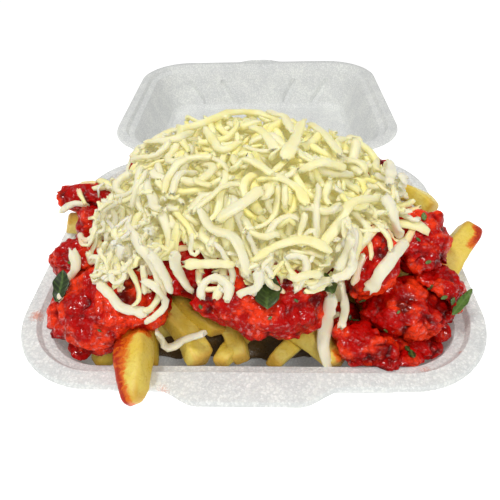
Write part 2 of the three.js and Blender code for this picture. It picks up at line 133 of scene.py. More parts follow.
def faces_up(face):
    return face.normal.z > 0.9


def faces_down(face):
    return face.normal.z < -0.9


def apply_modifier(piece, kind, **settings):
    take_up(piece)
    modifier = piece.modifiers.new(kind.lower(), kind)
    for key, value in settings.items():
        setattr(modifier, key, value)
    bpy.ops.object.modifier_apply(modifier=modifier.name)


def smooth(piece, angle=None):
    take_up(piece)
    if angle is None:
        bpy.ops.object.shade_smooth()
    else:
        bpy.ops.object.shade_smooth_by_angle(angle=math.radians(angle))


def points_of(piece):
    flat = np.empty(3 * len(piece.data.vertices))
    piece.data.vertices.foreach_get("co", flat)
    return flat.reshape(-1, 3)


def move_points(piece, points):
    piece.data.vertices.foreach_set("co", np.asarray(points, float).ravel())
    piece.data.update()


def note(piece, name, values):
    """Writes one number for each vertex, which the piece's material reads by that name."""
    layer = piece.data.attributes.new(name, "FLOAT", "POINT")
    layer.data.foreach_set("value", np.asarray(values, np.float32))


def copy_of(original, name):
    piece = original.copy()
    piece.data = original.data.copy()
    piece.name = name
    bpy.context.scene.collection.objects.link(piece)
    return piece


def join(pieces, name):
    put_down()
    for piece in pieces:
        piece.select_set(True)
    bpy.context.view_layer.objects.active = pieces[0]
    bpy.ops.object.join()
    pieces[0].name = name
    pieces[0].data.name = name
    return pieces[0]


def node_copy(node, name):
    """A copy of a model solid with its loose triangles merged, free of its body and its finish."""
    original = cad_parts[node]
    piece = bpy.data.objects.new(name, original.data.copy())
    bpy.context.scene.collection.objects.link(piece)
    piece.data.materials.clear()
    take_up(piece)
    bpy.ops.object.mode_set(mode="EDIT")
    bpy.ops.mesh.select_all(action="SELECT")
    bpy.ops.mesh.remove_doubles(threshold=mm(0.01))
    bpy.ops.object.mode_set(mode="OBJECT")
    return piece


def finish_piece(piece, material, body, slot, *nodes):
    """Gives a piece its material, its body and the solids that it stands in for; the slot is not used."""
    piece.data.materials.clear()
    piece.data.materials.append(material)
    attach(piece, body)
    if nodes:
        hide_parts(*nodes)


# Finishes

def socket_of(sockets, name):
    """The socket that a name in lower case with underscores stands for."""
    return sockets[name.replace("_", " ").title().replace("Ior", "IOR")]


class Finish:
    """A material put together node by node on Object coordinates."""

    def __init__(self, name):
        self.material = bpy.data.materials.new(name)
        self.material.use_nodes = True
        self.tree = self.material.node_tree
        self.surface = self.tree.nodes["Principled BSDF"]
        self.place = self.tree.nodes.new("ShaderNodeTexCoord").outputs["Object"]

    def put(self, socket, value):
        """Gives a socket a value, or the output that feeds it."""
        if isinstance(value, (int, float, tuple)):
            socket.default_value = value
        else:
            self.tree.links.new(value, socket)

    def set(self, **values):
        """Gives the surface its values and what feeds it."""
        for name, value in values.items():
            self.put(socket_of(self.surface.inputs, name), value)

    def add(self, kind, setting=None, **inputs):
        """A node with one setting of its own, a name and a value, and what its inputs get."""
        node = self.tree.nodes.new("ShaderNode" + kind)
        if setting:
            setattr(node, *setting)
        for name, value in inputs.items():
            self.put(socket_of(node.inputs, name), value)
        return node

    def grain(self, size, detail=3, roughness=0.5, distortion=0):
        """Noise whose lumps are about that many millimetres across."""
        node = self.add("TexNoise", vector=self.place, scale=1 / mm(size), detail=detail,
                        roughness=roughness, distortion=distortion)
        return node.outputs["Fac"]

    def cells(self, size):
        """How far from the middle of its cell a place is, with cells of that many millimetres."""
        return self.add("TexVoronoi", vector=self.place, scale=1 / mm(size)).outputs["Distance"]

    def near(self, place, reach, rough):
        """How near a spot is, with a ragged edge: 0.8 at the spot, 0 out of reach in millimetres."""
        away = self.math("DISTANCE", self.place, mm(place), kind="VectorMath")
        ragged = self.spread(rough, 0.3, 0.7, mm(-0.35 * reach), mm(0.35 * reach))
        return self.spread(self.math("ADD", away, ragged), 0, mm(reach), 0.8, 0)

    def noted(self, name):
        """The numbers that a piece has under that name."""
        return self.add("Attribute", ("attribute_name", name)).outputs["Fac"]

    def spread(self, value, low, high, to_low=0, to_high=1):
        """A value taken smoothly from one range to another and held at its ends."""
        node = self.add("MapRange", ("interpolation_type", "SMOOTHSTEP"), value=value, from_min=low,
                        from_max=high, to_min=to_low, to_max=to_high)
        return node.outputs["Result"]

    def math(self, operation, a, b, kind="Math"):
        """A sum, a product or a distance of two values."""
        node = self.add(kind, ("operation", operation))
        for socket, value in zip(node.inputs, (a, b)):
            self.put(socket, value)
        return node.outputs["Value"]

    def blend(self, share, first, second):
        """A colour between two, by a share from 0 to 1."""
        node = self.add("Mix", ("data_type", "RGBA"), factor=share, a=first, b=second)
        return node.outputs["Result"]

    def tint(self, base, colour, value, low, high, most=1):
        """A colour that comes over the base as a value goes from low to high, up to a share."""
        return self.blend(self.spread(value, low, high, 0, most), base, colour)

    def relief(self, height, distance, strength=1, **normal):
        """Fine relief, that many millimetres deep, over another one where that is given."""
        node = self.add("Bump", height=height, distance=mm(distance), strength=strength, **normal)
        return node.outputs["Normal"]


def srgb(red, green, blue):
    """A colour as it looks on screen, 0 to 255, in the renderer's own scale."""
    scaled = [((c / 255 + 0.055) / 1.055) ** 2.4 if c > 10 else c / 3295 for c in (red, green, blue)]
    return (*scaled, 1)


# Where sauce has run or been dropped on the foam, with how far each mark reaches
FOAM_STAINS = [
    ((-87, -44, 37.5), 3.5),
    ((-30.5, -78, 38), 3.5),
    ((64, -66, 36.5), 3),
    ((78, -60, 37), 1.2),
    ((90, -12, 38), 1.6),
]


def foam_finish():
    finish = Finish("white_foam")
    beads = finish.cells(1.3)
    patches = finish.grain(13, detail=5, roughness=0.65)
    speckle = finish.grain(0.65, detail=3, roughness=0.8)
    white = finish.blend(finish.spread(patches, 0.38, 0.66), srgb(212, 214, 211), srgb(229, 231, 225))
    flecked = finish.tint(white, srgb(250, 250, 248), speckle, 0.47, 0.64, 0.8)
    marked = finish.tint(flecked, srgb(190, 193, 192), beads, 0.35, 0.6, 0.4)
    for place, reach in FOAM_STAINS:
        marked = finish.blend(finish.near(place, reach, speckle), marked, srgb(214, 104, 44))
    bead_relief = finish.relief(beads, 0.2, 0.8)
    # The faint white emission is painted light: the foam glows a little, which lifts its shaded walls
    finish.set(base_color=marked, roughness=finish.spread(speckle, 0.3, 0.7, 0.34, 0.6),
               specular_ior_level=0.4, subsurface_weight=0.35, subsurface_radius=mm((8, 8, 8)),
               emission_color=(1, 1, 1, 1), emission_strength=0.09,
               normal=finish.relief(speckle, 0.28, 0.9, normal=bead_relief))
    return finish.material


def fries_finish():
    finish = Finish("fried_potato")
    broad = finish.grain(8, detail=3)
    streaks = finish.grain(2.6, detail=4, roughness=0.6, distortion=1.2)
    fine = finish.grain(1.3, detail=4, roughness=0.65)
    pale = finish.blend(finish.spread(broad, 0.35, 0.65), srgb(247, 229, 124), srgb(237, 209, 84))
    toned = finish.blend(finish.noted("tone"), pale, srgb(227, 198, 74))
    browned = finish.tint(toned, srgb(206, 146, 44), finish.noted("edge"), 0.4, 1, 0.55)
    streaked = finish.tint(browned, srgb(198, 160, 56), streaks, 0.5, 0.75, 0.35)
    specked = finish.tint(streaked, srgb(168, 112, 38), fine, 0.68, 0.8, 0.45)
    mottle = finish.math("MULTIPLY", finish.spread(broad, 0.3, 0.7, 0.75, 1.25),
                         finish.spread(streaks, 0.3, 0.7, 0.6, 1.4))
    ragged = finish.math("MULTIPLY", finish.noted("sauce"), mottle)
    orange = finish.tint(specked, srgb(226, 112, 24), ragged, 0.1, 0.5)
    stained = finish.tint(orange, srgb(176, 22, 6), ragged, 0.5, 1.1, 0.9)
    wrinkles = finish.relief(streaks, 0.55, 0.6)
    # The core, noted with a depth of 1, is painted dark brown: painted shade for the gaps between the fries
    finish.set(base_color=finish.blend(finish.noted("depth"), stained, srgb(92, 68, 26)),
               roughness=finish.spread(fine, 0.3, 0.7, 0.22, 0.46), specular_ior_level=0.4,
               subsurface_weight=0.2, subsurface_radius=mm((2.0, 1.6, 0.6)),
               normal=finish.relief(fine, 0.22, 0.7, normal=wrinkles))
    return finish.material


def chicken_finish():
    finish = Finish("sauced_chicken")
    patches = finish.grain(7, detail=4, roughness=0.6)
    fibres = finish.grain(2.4, detail=4, roughness=0.65, distortion=0.8)
    grains = finish.grain(0.9, detail=3, roughness=0.65)
    # The rises of the meat are painted lighter and more orange as painted light, over broad orange patches
    # of the sauce itself
    painted_light_and_orange = finish.math("ADD", finish.noted("raised"), finish.spread(patches, 0.35, 0.65, -0.3, 0.3))
    red = finish.blend(finish.spread(painted_light_and_orange, 0.25, 0.85), srgb(190, 7, 3), srgb(253, 64, 25))
    fibred = finish.tint(red, srgb(140, 4, 2), fibres, 0.42, 0.7, 0.7)
    fibre_relief = finish.relief(fibres, 0.7, 0.8)
    drops = finish.grain(1.5, detail=2, roughness=0.6)
    # The hollows are painted a deeper red as painted shade
    finish.set(base_color=finish.tint(fibred, srgb(84, 2, 1), finish.noted("hollow"), 0.25, 1, 0.9),
               roughness=finish.spread(grains, 0.35, 0.65, 0.2, 0.4), specular_ior_level=0.06,
               normal=finish.relief(grains, 0.4, normal=fibre_relief),
               coat_weight=finish.spread(drops, 0.52, 0.66, 0.04, 1), coat_roughness=0.14, coat_ior=2,
               coat_normal=finish.relief(drops, 0.45))
    return finish.material


def sauce_finish():
    finish = Finish("red_sauce")
    patches = finish.grain(7, detail=4)
    grains = finish.grain(0.9, detail=3, roughness=0.6)
    red = finish.blend(finish.spread(patches, 0.35, 0.65), srgb(110, 5, 4), srgb(170, 14, 8))
    finish.set(base_color=red, roughness=0.16, specular_ior_level=0.2, coat_weight=0.2,
               coat_roughness=0.05, normal=finish.relief(grains, 0.25, 0.7))
    return finish.material


def cheese_finish():
    finish = Finish("grated_cheese")
    broad = finish.grain(9, detail=2)
    fine = finish.grain(0.9, detail=3, roughness=0.6)
    yellow = finish.blend(finish.spread(broad, 0.35, 0.65), srgb(240, 236, 182), srgb(238, 229, 146))
    whiter = finish.blend(finish.noted("tone"), yellow, srgb(222, 218, 206))
    blush = finish.tint(whiter, srgb(228, 150, 128), finish.noted("sauce"), 0.1, 1, 0.5)
    # The faint yellow emission is painted light: the cheese glows a little, which lightens the shade in its
    # crevices
    finish.set(base_color=blush, roughness=finish.spread(fine, 0.3, 0.7, 0.34, 0.55),
               specular_ior_level=0.35, subsurface_weight=0.8, subsurface_radius=mm((5.0, 4.0, 2.0)),
               emission_color=(1, 0.94, 0.52, 1), emission_strength=0.1,
               normal=finish.relief(fine, 0.08, 0.6))
    return finish.material


def herb_finish():
    finish = Finish("green_herb")
    fine = finish.grain(1.1, detail=3)
    green = finish.blend(finish.noted("tone"), srgb(36, 48, 21), srgb(104, 146, 46))
    mottled = finish.tint(green, srgb(24, 40, 16), fine, 0.4, 0.7, 0.5)
    veined = finish.blend(finish.noted("vein"), mottled, srgb(104, 134, 66))
    finish.set(base_color=veined, roughness=0.3, specular_ior_level=0.5, subsurface_weight=0.08,
               subsurface_radius=mm((0.6, 1.0, 0.3)), normal=finish.relief(fine, 0.12, 0.6))
    return finish.material


FOAM = foam_finish()
POTATO = fries_finish()
CHICKEN = chicken_finish()
SAUCE = sauce_finish()
CHEESE = cheese_finish()
HERB = herb_finish()


# The foam box

def shell_levels(height):
    """How far in from the rim and how high each line of the shell lies, on its two sides."""
    inner = [
        (0.9, height - 0.2),
        (6.4, height),
        (7.8, height - 2.6),
        (11.2, height - 3.8),
        (14.4, height - 10),
        (20.6, 6.4),
        (23.6, 3.2),
        (29, 3.2),
    ]
    outer = [
        (0.9, height - 2.8),
        (9, height - 3.4),
        (11.2, height - 6.5),
        (18.6, 2.2),
        (21, 0),
        (25, 0),
        (26.5, 0.8),
    ]
    return inner, outer


def press_levels(levels, start, upwards):
    """Insets the selected face level by level, up or down."""
    last_inset, last_z = start
    for inset, z in levels:
        depth = (z - last_z) * (1 if upwards else -1)
        bpy.ops.mesh.inset(thickness=mm(inset - last_inset), depth=mm(depth))
        last_inset, last_z = inset, z


def foam_shell(name, height, lip):
    """One half of the box as it stands, with its lip or tab to the front."""
    band, band_top = 0.4, height - 1.6
    front = -BOX_DEPTH / 2
    shell = start_block(name, (0, 0, band_top - band / 2), (BOX_WIDTH, BOX_DEPTH, band))
    upright = runs_along("z", 0.1)
    pick(shell, "EDGE", upright)
    bpy.ops.mesh.bevel(offset=mm(CORNER_RADIUS), segments=14, affect="EDGES")
    pick(shell, "EDGE", lambda e: not upright(e) and all(v.co.y < mm(front + 0.01) for v in e.verts))
    bpy.ops.mesh.subdivide(number_cuts=37)
    inner, outer = shell_levels(height)
    pick(shell, "FACE", faces_up)
    press_levels(inner, (0, band_top), True)
    pick(shell, "FACE", faces_down)
    press_levels(outer, (0, band_top - band), False)
    swell_lip(shell, front, lip)
    return shell


def swell_lip(shell, front, lip):
    """The rim's front edge swells out into a lip, with nothing else of the shell moved."""
    pick(shell, "VERT", lambda v: v.co.y < mm(front + 1.05))
    bpy.ops.mesh.hide(unselected=True)
    pick(shell, "VERT", lambda v: abs(v.co.x) < mm(lip["half"]))
    bpy.ops.transform.translate(
        value=mm((0, -lip["reach"], 0)),
        use_proportional_edit=True,
        proportional_edit_falloff="SMOOTH",
        proportional_size=mm(LIP_SWEEP),
    )
    bpy.ops.mesh.reveal(select=False)


def press_flute(shell, height, top_x, foot_x, depth=2.2, half_width=3.4):
    """One shallow groove down the shell's front wall, from the ledge to the floor."""
    (top_inset, top_z), (foot_inset, foot_z) = shell_levels(height)[0][4:6]
    top = Vector((top_x, top_inset - BOX_DEPTH / 2, top_z))
    foot = Vector((foot_x, foot_inset - BOX_DEPTH / 2, foot_z))
    along = (foot - top).normalized()
    inward = Vector((0, top_z - foot_z, foot_inset - top_inset)).normalized()
    across = along.cross(inward).normalized()

    def on_wall(f):
        centre = f.calc_center_median() / MM
        return (abs(f.normal.dot(inward)) > 0.99 and top.y - 0.1 < centre.y < foot.y + 0.1
                and foot.z < centre.z < top.z and f.normal.z > 0)

    for offset in (-half_width, 0, half_width):
        pick(shell, "FACE", on_wall)
        bpy.ops.mesh.bisect(plane_co=mm(top + offset * across), plane_no=across)

    def on_crease(e):
        return all(abs((v.co / MM - top).dot(across)) < 0.02 and on_line(v) for v in e.verts)

    def on_line(v):
        away = v.co / MM - top
        beside = away - away.dot(along) * along
        return beside.length < 0.05 and -0.1 < away.dot(along) < (foot - top).length + 0.1

    pick(shell, "EDGE", on_crease)
    bpy.ops.mesh.subdivide(number_cuts=5)
    pick(shell, "VERT", lambda v: on_line(v) and 1 < (v.co / MM - top).length < (foot - top).length - 1)
    bpy.ops.transform.translate(value=mm(-depth * inward))


def press_notch(shell, front, top, half_width=11):
    """The shallow seat for the latch, on the tab."""
    back = mm(front + 6.4)
    for x in (-half_width, half_width):
        pick(shell, "FACE", lambda f: faces_up(f) and f.calc_center_median().y < back)
        bpy.ops.mesh.bisect(plane_co=mm((x, 0, 0)), plane_no=(1, 0, 0))

    def on_tab(f):
        centre = f.calc_center_median()
        return (f.normal.z > 0.8 and abs(centre.x) < mm(half_width) and mm(front - 5) < centre.y < back
                and centre.z > mm(top - 0.5) and f.calc_area() > 2 * MM ** 2)

    pick(shell, "FACE", on_tab)
    bpy.ops.mesh.inset(thickness=mm(0.8), depth=mm(-0.9))


def round_edges(shell):
    put_down()
    apply_modifier(shell, "BEVEL", width=mm(0.55), segments=3, limit_method="ANGLE",
                   angle_limit=math.radians(16))
    smooth(shell, 28)


def make_tray():
    tray = foam_shell("foam_tray", TRAY_HEIGHT, LIP)
    round_edges(tray)
    return tray


def make_lid():
    lid = foam_shell("foam_lid", LID_HEIGHT, TAB)
    for top_x, foot_x in ((32, 21), (-32, -21), (60, 46), (-60, -46)):
        press_flute(lid, LID_HEIGHT, top_x, foot_x)
    press_notch(lid, -BOX_DEPTH / 2, LID_HEIGHT)
    round_edges(lid)
    droop = math.asin((TRAY_HEIGHT - LID_HEIGHT) / LID_FOOT)
    on_hinge = Matrix.Translation(mm((0, HINGE_Y, TRAY_HEIGHT))) @ Matrix.Rotation(-droop, 4, "X")
    behind = Matrix.Translation(mm((0, HINGE_Y, -LID_HEIGHT))) @ Matrix.Rotation(math.pi, 4, "Z")
    lid.data.transform(on_hinge @ behind)
    return lid


def make_hinge():
    """The pressed strip that joins the two rims, with a groove where it folds and one at each side."""
    middle, width = (0, HINGE_Y, TRAY_HEIGHT - 1), 9.4
    strip = start_block("foam_hinge", middle, (HINGE_LENGTH, width, 1.2))
    pick(strip, "EDGE", runs_along("y", 1))
    bpy.ops.mesh.subdivide(number_cuts=11)
    grooves = (HINGE_Y - width / 4, HINGE_Y, HINGE_Y + width / 4)
    pick(strip, "VERT", lambda v: any(abs(v.co.y - mm(y)) < mm(0.1) for y in grooves))
    bpy.ops.transform.resize(value=(1, 1, 0.4), center_override=mm(middle))
    put_down()
    smooth(strip, 50)
    return strip


# The draws of numbers, the same on each run

def seeded_draw(seed):
    """Numbers from 0 to 1, by the same rule that places the surrounding fries in the model."""
    state = seed
    while True:
        state = (state * 1664525 + 1013904223) % 4294967296
        yield state / 4294967296


def wander(at):
    """Smooth noise in each of the three directions, the same on each run."""
    return Vector((noise.noise(at), noise.noise(at + Vector((31.4, 7.7, 2.1))),
                   noise.noise(at + Vector((5.3, 41.9, 17.6)))))


def roughen(points, layers, seed):
    """Moves points by smooth noise: each layer has a size and a depth in millimetres."""
    moved = points.copy()
    shift = Vector((seed, 1.7 * seed, 0))
    for size, depth in layers:
        for i, p in enumerate(points):
            moved[i] += mm(depth) * np.array(wander(Vector(p) / mm(size) + shift))
    return moved


# The fries

FRY_LENGTH = 60
FRY_THICKNESS = 12

# The fries that show at the front and the sides: from where to where each lies and how thick it
# is, with its taper, bow, pointed end and sauce where they aren't the usual ones
SHOWN_FRIES = [
    {"start": (-46, -34, 36), "end": (-37.5, -85.5, 44), "thick": 13.4, "taper": 0.9, "bow": 2.5,
     "point": 0.5, "side_sauce": 1},
    {"start": (-60, 4, 37), "end": (-88, 7, 45), "thick": 10},
    {"start": (70, -37, 32), "end": (94.5, -6, 52), "thick": 11.5, "taper": 0.95, "tip_sauce": 0.72},
    {"start": (44, 30, 36), "end": (71, 43, 39), "thick": 10.5},
    {"start": (66, 42, 42), "end": (83, 8, 51), "thick": 11},
    {"start": (-39, -34, 35), "end": (-18, -60, 30), "thick": 10.5, "taper": 0.85},
    {"start": (-31, -33, 38), "end": (-12.5, -50, 34), "thick": 8, "taper": 0.85},
    {"start": (-43, -36, 33), "end": (-40, -59, 28), "thick": 8.5},
    {"start": (-14, -34, 34), "end": (-3, -59, 29), "thick": 9, "taper": 0.85},
    {"start": (4, -38, 31), "end": (-12.5, -60, 28), "thick": 8.5, "taper": 0.75},
    {"start": (2, -34, 35), "end": (35, -61, 32), "thick": 11.5, "taper": 0.85},
    {"start": (28, -38, 26), "end": (8, -60, 28), "thick": 9, "taper": 0.7},
    {"start": (44, -30, 33), "end": (72, -41, 31), "thick": 11},
    {"start": (-52, -34, 34), "end": (-62, -56, 22), "thick": 11},
]


# The ring on which the surrounding fries lie, with its corners squared a little
RING_X, RING_Y = 68, 53


def surrounding_fries(count=15):
    """The fries at the back and sides, as the model has them."""
    draw = seeded_draw(11)
    fries = []
    for n in range(count):
        angle = math.radians(-14 + 208 * n / (count - 1))
        c, s = math.cos(angle), math.sin(angle)
        x = RING_X * math.copysign(abs(c) ** 0.75, c)
        y = RING_Y * math.copysign(abs(s) ** 0.75, s)
        thick = 9.5 + 2.5 * next(draw)
        if n % 2 == 0:
            lean = angle + 1.2 * (next(draw) - 0.5)
            length = 24 + 12 * next(draw)
            start = (x - length * math.cos(lean), y - length * math.sin(lean), 41)
            fries.append({"start": start, "end": (x, y, 27 + 10 * next(draw)), "thick": thick})
            continue
        lean = math.atan2(x / RING_X, -y / RING_Y) + 0.7 * (next(draw) - 0.5)
        half = 15 + 6 * next(draw)
        tilt = 4 * (next(draw) - 0.5)
        ends = [(0.84 * x + k * half * math.cos(lean), 0.84 * y + k * half * math.sin(lean), 39 + k * tilt)
                for k in (-1, 1)]
        fries.append({"start": ends[0], "end": ends[1], "thick": thick, "bow": 2})
    return fries


def keep_in_tray(points, gap=0.7):
    """Draws in whatever would lie in the foam, level by level, for points in millimetres."""
    inner, _ = shell_levels(TRAY_HEIGHT)
    insets, levels = zip(*reversed(inner[1:-1]))
    inset = np.interp(points[:, 2], levels, insets) + gap
    corner = CORNER_RADIUS - inset
    straight = np.array((BOX_WIDTH, BOX_DEPTH)) / 2 - CORNER_RADIUS
    beyond = np.maximum(np.abs(points[:, :2]) - straight, 0)
    away = np.hypot(beyond[:, 0], beyond[:, 1])
    over = (away > corner) & (points[:, 2] < TRAY_HEIGHT - 0.6)
    pull = np.where(over, 1 - corner / np.maximum(away, 1e-6), 0)
    kept = points.copy()
    kept[:, 2] = np.maximum(kept[:, 2], levels[0] + gap)
    kept[:, :2] -= np.sign(points[:, :2]) * beyond * pull[:, None]
    return kept


def buried_fries(count=46):
    """Fries that fill the tray under those that show, on a ring round the core, save at the front."""
    draw = random.Random(21)
    fries = []
    for n in range(count):
        angle = 2 * math.pi * (n + draw.random()) / count
        reach = 0.72 + 0.2 * draw.random()
        middle = np.array((76 * reach * math.cos(angle), 58 * reach * math.sin(angle), 0))
        lean = draw.uniform(0, math.pi)
        half = np.array((math.cos(lean), math.sin(lean), draw.uniform(-0.25, 0.25))) * draw.uniform(12, 19)
        middle[2] = 14 + 17 * draw.random()
        if middle[1] < -38 and abs(middle[0]) < 56:
            continue
        ends = keep_in_tray(np.array((middle - half, middle + half)), 7)
        if any(end[1] < -50 and abs(end[0]) < 62 for end in ends):
            continue
        fries.append({"start": ends[0], "end": ends[1], "thick": draw.uniform(9.5, 12), "bow": 1})
    return fries


def fry_blank():
    """One straight fry along X: a cut stick with rounded edges and enough rings to bend."""
    blank = start_block("fry_blank", (0, 0, 0), (FRY_LENGTH, FRY_THICKNESS, FRY_THICKNESS))
    bpy.ops.mesh.select_all(action="SELECT")
    bpy.ops.mesh.bevel(offset=mm(2.2), segments=3, affect="EDGES")
    pick(blank, "EDGE", runs_along("x", 20))
    bpy.ops.mesh.subdivide(number_cuts=15)
    lengthwise = runs_along("x", 0.1)
    pick(blank, "EDGE", lambda e: not lengthwise(e) and e.calc_length() > mm(4.6)
         and max(abs(v.co.x) for v in e.verts) < mm(27.5))
    bpy.ops.mesh.subdivide(number_cuts=1)
    put_down()
    return blank


def lay_fry(blank, number, start, end, thick=FRY_THICKNESS, bow=1.5, taper=0.8, point=0, side_sauce=0,
            tip_sauce=1):
    """A copy of the blank laid from one point to another, bowed, tapered and uneven."""
    draw = random.Random(100 + number)
    fry = copy_of(blank, f"fry_{number}")
    local = points_of(fry) / MM
    start, end = Vector(start), Vector(end)
    along = end - start
    across = along.cross(UP).normalized()
    upward = across.cross(along).normalized()
    roll = draw.uniform(-0.5, 0.5)
    side = math.cos(roll) * across + math.sin(roll) * upward
    top = math.cos(roll) * upward - math.sin(roll) * across
    s = np.clip(local[:, 0] / FRY_LENGTH + 0.5, 0, 1)
    from_middle = np.abs(2 * s - 1)
    size = thick / FRY_THICKNESS * (1 - (1 - taper) * s) * (1 - point * np.maximum(2 * s - 1, 0) ** 2.2)
    waist = 1 - 0.08 * np.sin(math.pi * s) - draw.uniform(0.1, 0.3) * from_middle ** 9
    u = local[:, 1] * size * waist * draw.uniform(0.92, 1.05)
    v = local[:, 2] * size * waist * draw.uniform(0.82, 0.98)
    sway = draw.uniform(-1.8, 1.8) * np.sin(math.pi * s)
    centre = (np.array(start) + np.outer(s, along) + np.outer(bow * np.sin(math.pi * s), upward)
              + np.outer(sway, across))
    slant = draw.uniform(-0.3, 0.3) * u + draw.uniform(-0.35, 0.35) * v
    shift = np.outer(slant * from_middle ** 3, along.normalized())
    points = (centre + np.outer(u, side) + np.outer(v, top) + shift) * MM
    move_points(fry, roughen(points, ((17, 1.5), (6, 0.55), (2.6, 0.3)), seed=number))
    half = FRY_THICKNESS / 2
    edge = (np.abs(local[:, 1]) / half) ** 2 * (np.abs(local[:, 2]) / half) ** 2 + from_middle ** 14
    sauce = np.clip((s - tip_sauce) / 0.1, 0, 1) * np.clip(local[:, 1] / 2, 0, 1)
    if side_sauce:
        sauce += np.clip(0.35 + side_sauce * local[:, 1] / 5 + 0.5 * (0.6 - s), 0, 1)
    note(fry, "edge", np.clip(edge, 0, 1))
    note(fry, "tone", np.full(len(local), draw.random()))
    note(fry, "sauce", np.clip(sauce, 0, 1))
    return fry


def fries_core():
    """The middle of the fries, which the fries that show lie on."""
    core = start_block("fries_core", (0, 0, 9), (BOX_WIDTH - 56, BOX_DEPTH - 62, 2))
    pick(core, "EDGE", runs_along("z", 1))
    bpy.ops.mesh.bevel(offset=mm(30), segments=8, affect="EDGES")
    pick(core, "FACE", faces_up)
    press_levels([(27, 20), (38, 31), (48, 39)], (23, 10), True)
    pick(core, "FACE", faces_down)
    press_levels([(27, 4.4)], (23, 8), False)
    put_down()
    apply_modifier(core, "REMESH", mode="VOXEL", voxel_size=mm(3))
    move_points(core, roughen(points_of(core), ((12, 4), (5, 1.5)), seed=3))
    # A depth of 1 paints the whole core dark brown, as painted shade deep among the fries
    for name, value in (("edge", 0.3), ("tone", 1), ("sauce", 0), ("depth", 1)):
        note(core, name, np.full(len(core.data.vertices), value))
    return core


def make_fries(chicken_tree):
    """All fries in one piece, kept out of the foam and stained where they touch the chicken."""
    blank = fry_blank()
    laid = [lay_fry(blank, n, **fry)
            for n, fry in enumerate(SHOWN_FRIES + surrounding_fries() + buried_fries())]
    bpy.data.objects.remove(blank)
    fries = join([*laid, fries_core()], "fries_heap")
    move_points(fries, keep_in_tray(points_of(fries) / MM) * MM)
    smooth(fries)
    stain(fries, chicken_tree, 3)
    return fries


def tree_of(pieces):
    """One search tree over the faces of several pieces."""
    points, faces = [], []
    for piece in pieces:
        first = len(points)
        points.extend(v.co for v in piece.data.vertices)
        faces.extend([first + i for i in f.vertices] for f in piece.data.polygons)
    return BVHTree.FromPolygons(points, faces)


def stain(piece, tree, reach):
    """Notes how near each point lies to the sauced chicken, 1 where they touch, over older marks."""
    layer = piece.data.attributes.get("sauce") or piece.data.attributes.new("sauce", "FLOAT", "POINT")
    for vertex, mark in zip(piece.data.vertices, layer.data):
        away = tree.find_nearest(vertex.co, mm(reach))[3]
        if away is not None:
            mark.value = max(mark.value, 1 - away / mm(reach))


# The chicken and its sauce

CHICKEN_NODES = sorted(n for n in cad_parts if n.startswith("chicken_"))

# How rugged the calmer pieces are against the others
RUGGED_SHARE = {"chicken_centre": 0.62, "chicken_front_left": 0.8, "chicken_right_inner": 0.7}

# How orange the sauce is, as usual and on the pieces where it is more so
USUAL_ORANGE = 0.12
ORANGE_SHARE = {
    "chicken_front_left": 0.55,
    "chicken_right_inner": 0.6,
    "chicken_centre": 0.38,
    "chicken_right_lower": 0.45,
    "chicken_front_right": 0.3,
    "chicken_right_outer": 0.35,
    "chicken_right_upper": 0.25,
}


def meat_relief(at, shift, turned):
    """How far the meat stands out at a place, how much painted shade its hollow gets and how much painted
    light its rise gets, with broad orange patches of the sauce.
    """
    warped = at + 5 * wander(at / 7 + shift)
    near, _ = noise.voronoi(warped / 15 + shift)
    crevice = max(0.0, 1 - (near[1] - near[0]) / 0.14)
    lump = noise.noise(at / 7.5 + shift)
    knob = noise.noise(at / 3.6 - shift)
    fibre_at = turned @ at
    fibre_at.x *= 0.22
    fibre = 1 - 2 * abs(noise.noise(fibre_at / 2.8 + shift))
    grain = noise.noise(at / 2.1) + 0.6 * noise.noise(at / 1.2)
    push = 1.9 * lump + 0.6 * knob - 1.1 * crevice + 0.7 * fibre + 0.5 * grain - 0.4
    hollow = 0.5 * crevice + max(0.0, -1.1 * lump) + max(0.0, -0.5 * knob)
    broad = noise.noise(at / 13 + shift)
    return push, hollow, 0.5 * lump + 0.3 * knob + 0.9 * broad


def dress_meat(piece, number, orange, share=1):
    """Gives a smooth lump the torn, sauced surface of the meat, in part or in full."""
    points = points_of(piece)
    normals = np.empty(points.size)
    piece.data.vertices.foreach_get("normal", normals)
    turned = Matrix.Rotation(0.9 * number, 3, Vector((0.4, 0.5, 1)).normalized())
    shift = Vector((3.1 * number, 0, 0))
    relief = np.array([meat_relief(Vector(p) / MM, shift, turned) for p in points])
    moved = points / MM + share * relief[:, :1] * normals.reshape(-1, 3)
    move_points(piece, keep_in_tray(moved) * MM)
    # The hollows are noted for painted shade
    note(piece, "hollow", np.clip(relief[:, 1], 0, 1))
    # The rises are noted for painted light, together with the piece's own orange
    note(piece, "raised", np.clip(relief[:, 2] + orange, 0, 1))
    smooth(piece)


def make_chicken(node, number):
    """A torn piece of chicken in thick sauce, in the place and form of its solid."""
    piece = node_copy(node, node + "_meat")
    apply_modifier(piece, "REMESH", mode="VOXEL", voxel_size=mm(0.8))
    apply_modifier(piece, "SMOOTH", factor=0.5, iterations=12)
    dress_meat(piece, number, ORANGE_SHARE.get(node, USUAL_ORANGE), RUGGED_SHARE.get(node, 1))
    return piece


# Torn bits of chicken between the larger pieces and at the tray's sides: their middles and widths
CHICKEN_BITS = [
    ((50, -61, 34), 11),
    ((60, -60, 33), 10),
    ((67, -56, 34), 11),
    ((73, -50, 36), 9),
    ((78, -43, 39), 8),
    ((39, -61, 35), 8),
    ((62, -61, 34), 6),
    ((57, -51, 33), 12),
    ((39, -40, 33), 12),
    ((-66, -57, 34), 9),
    ((-74, -49, 36), 9),
    ((-77, -38, 40), 9),
    ((-77, -21, 41), 9),
]


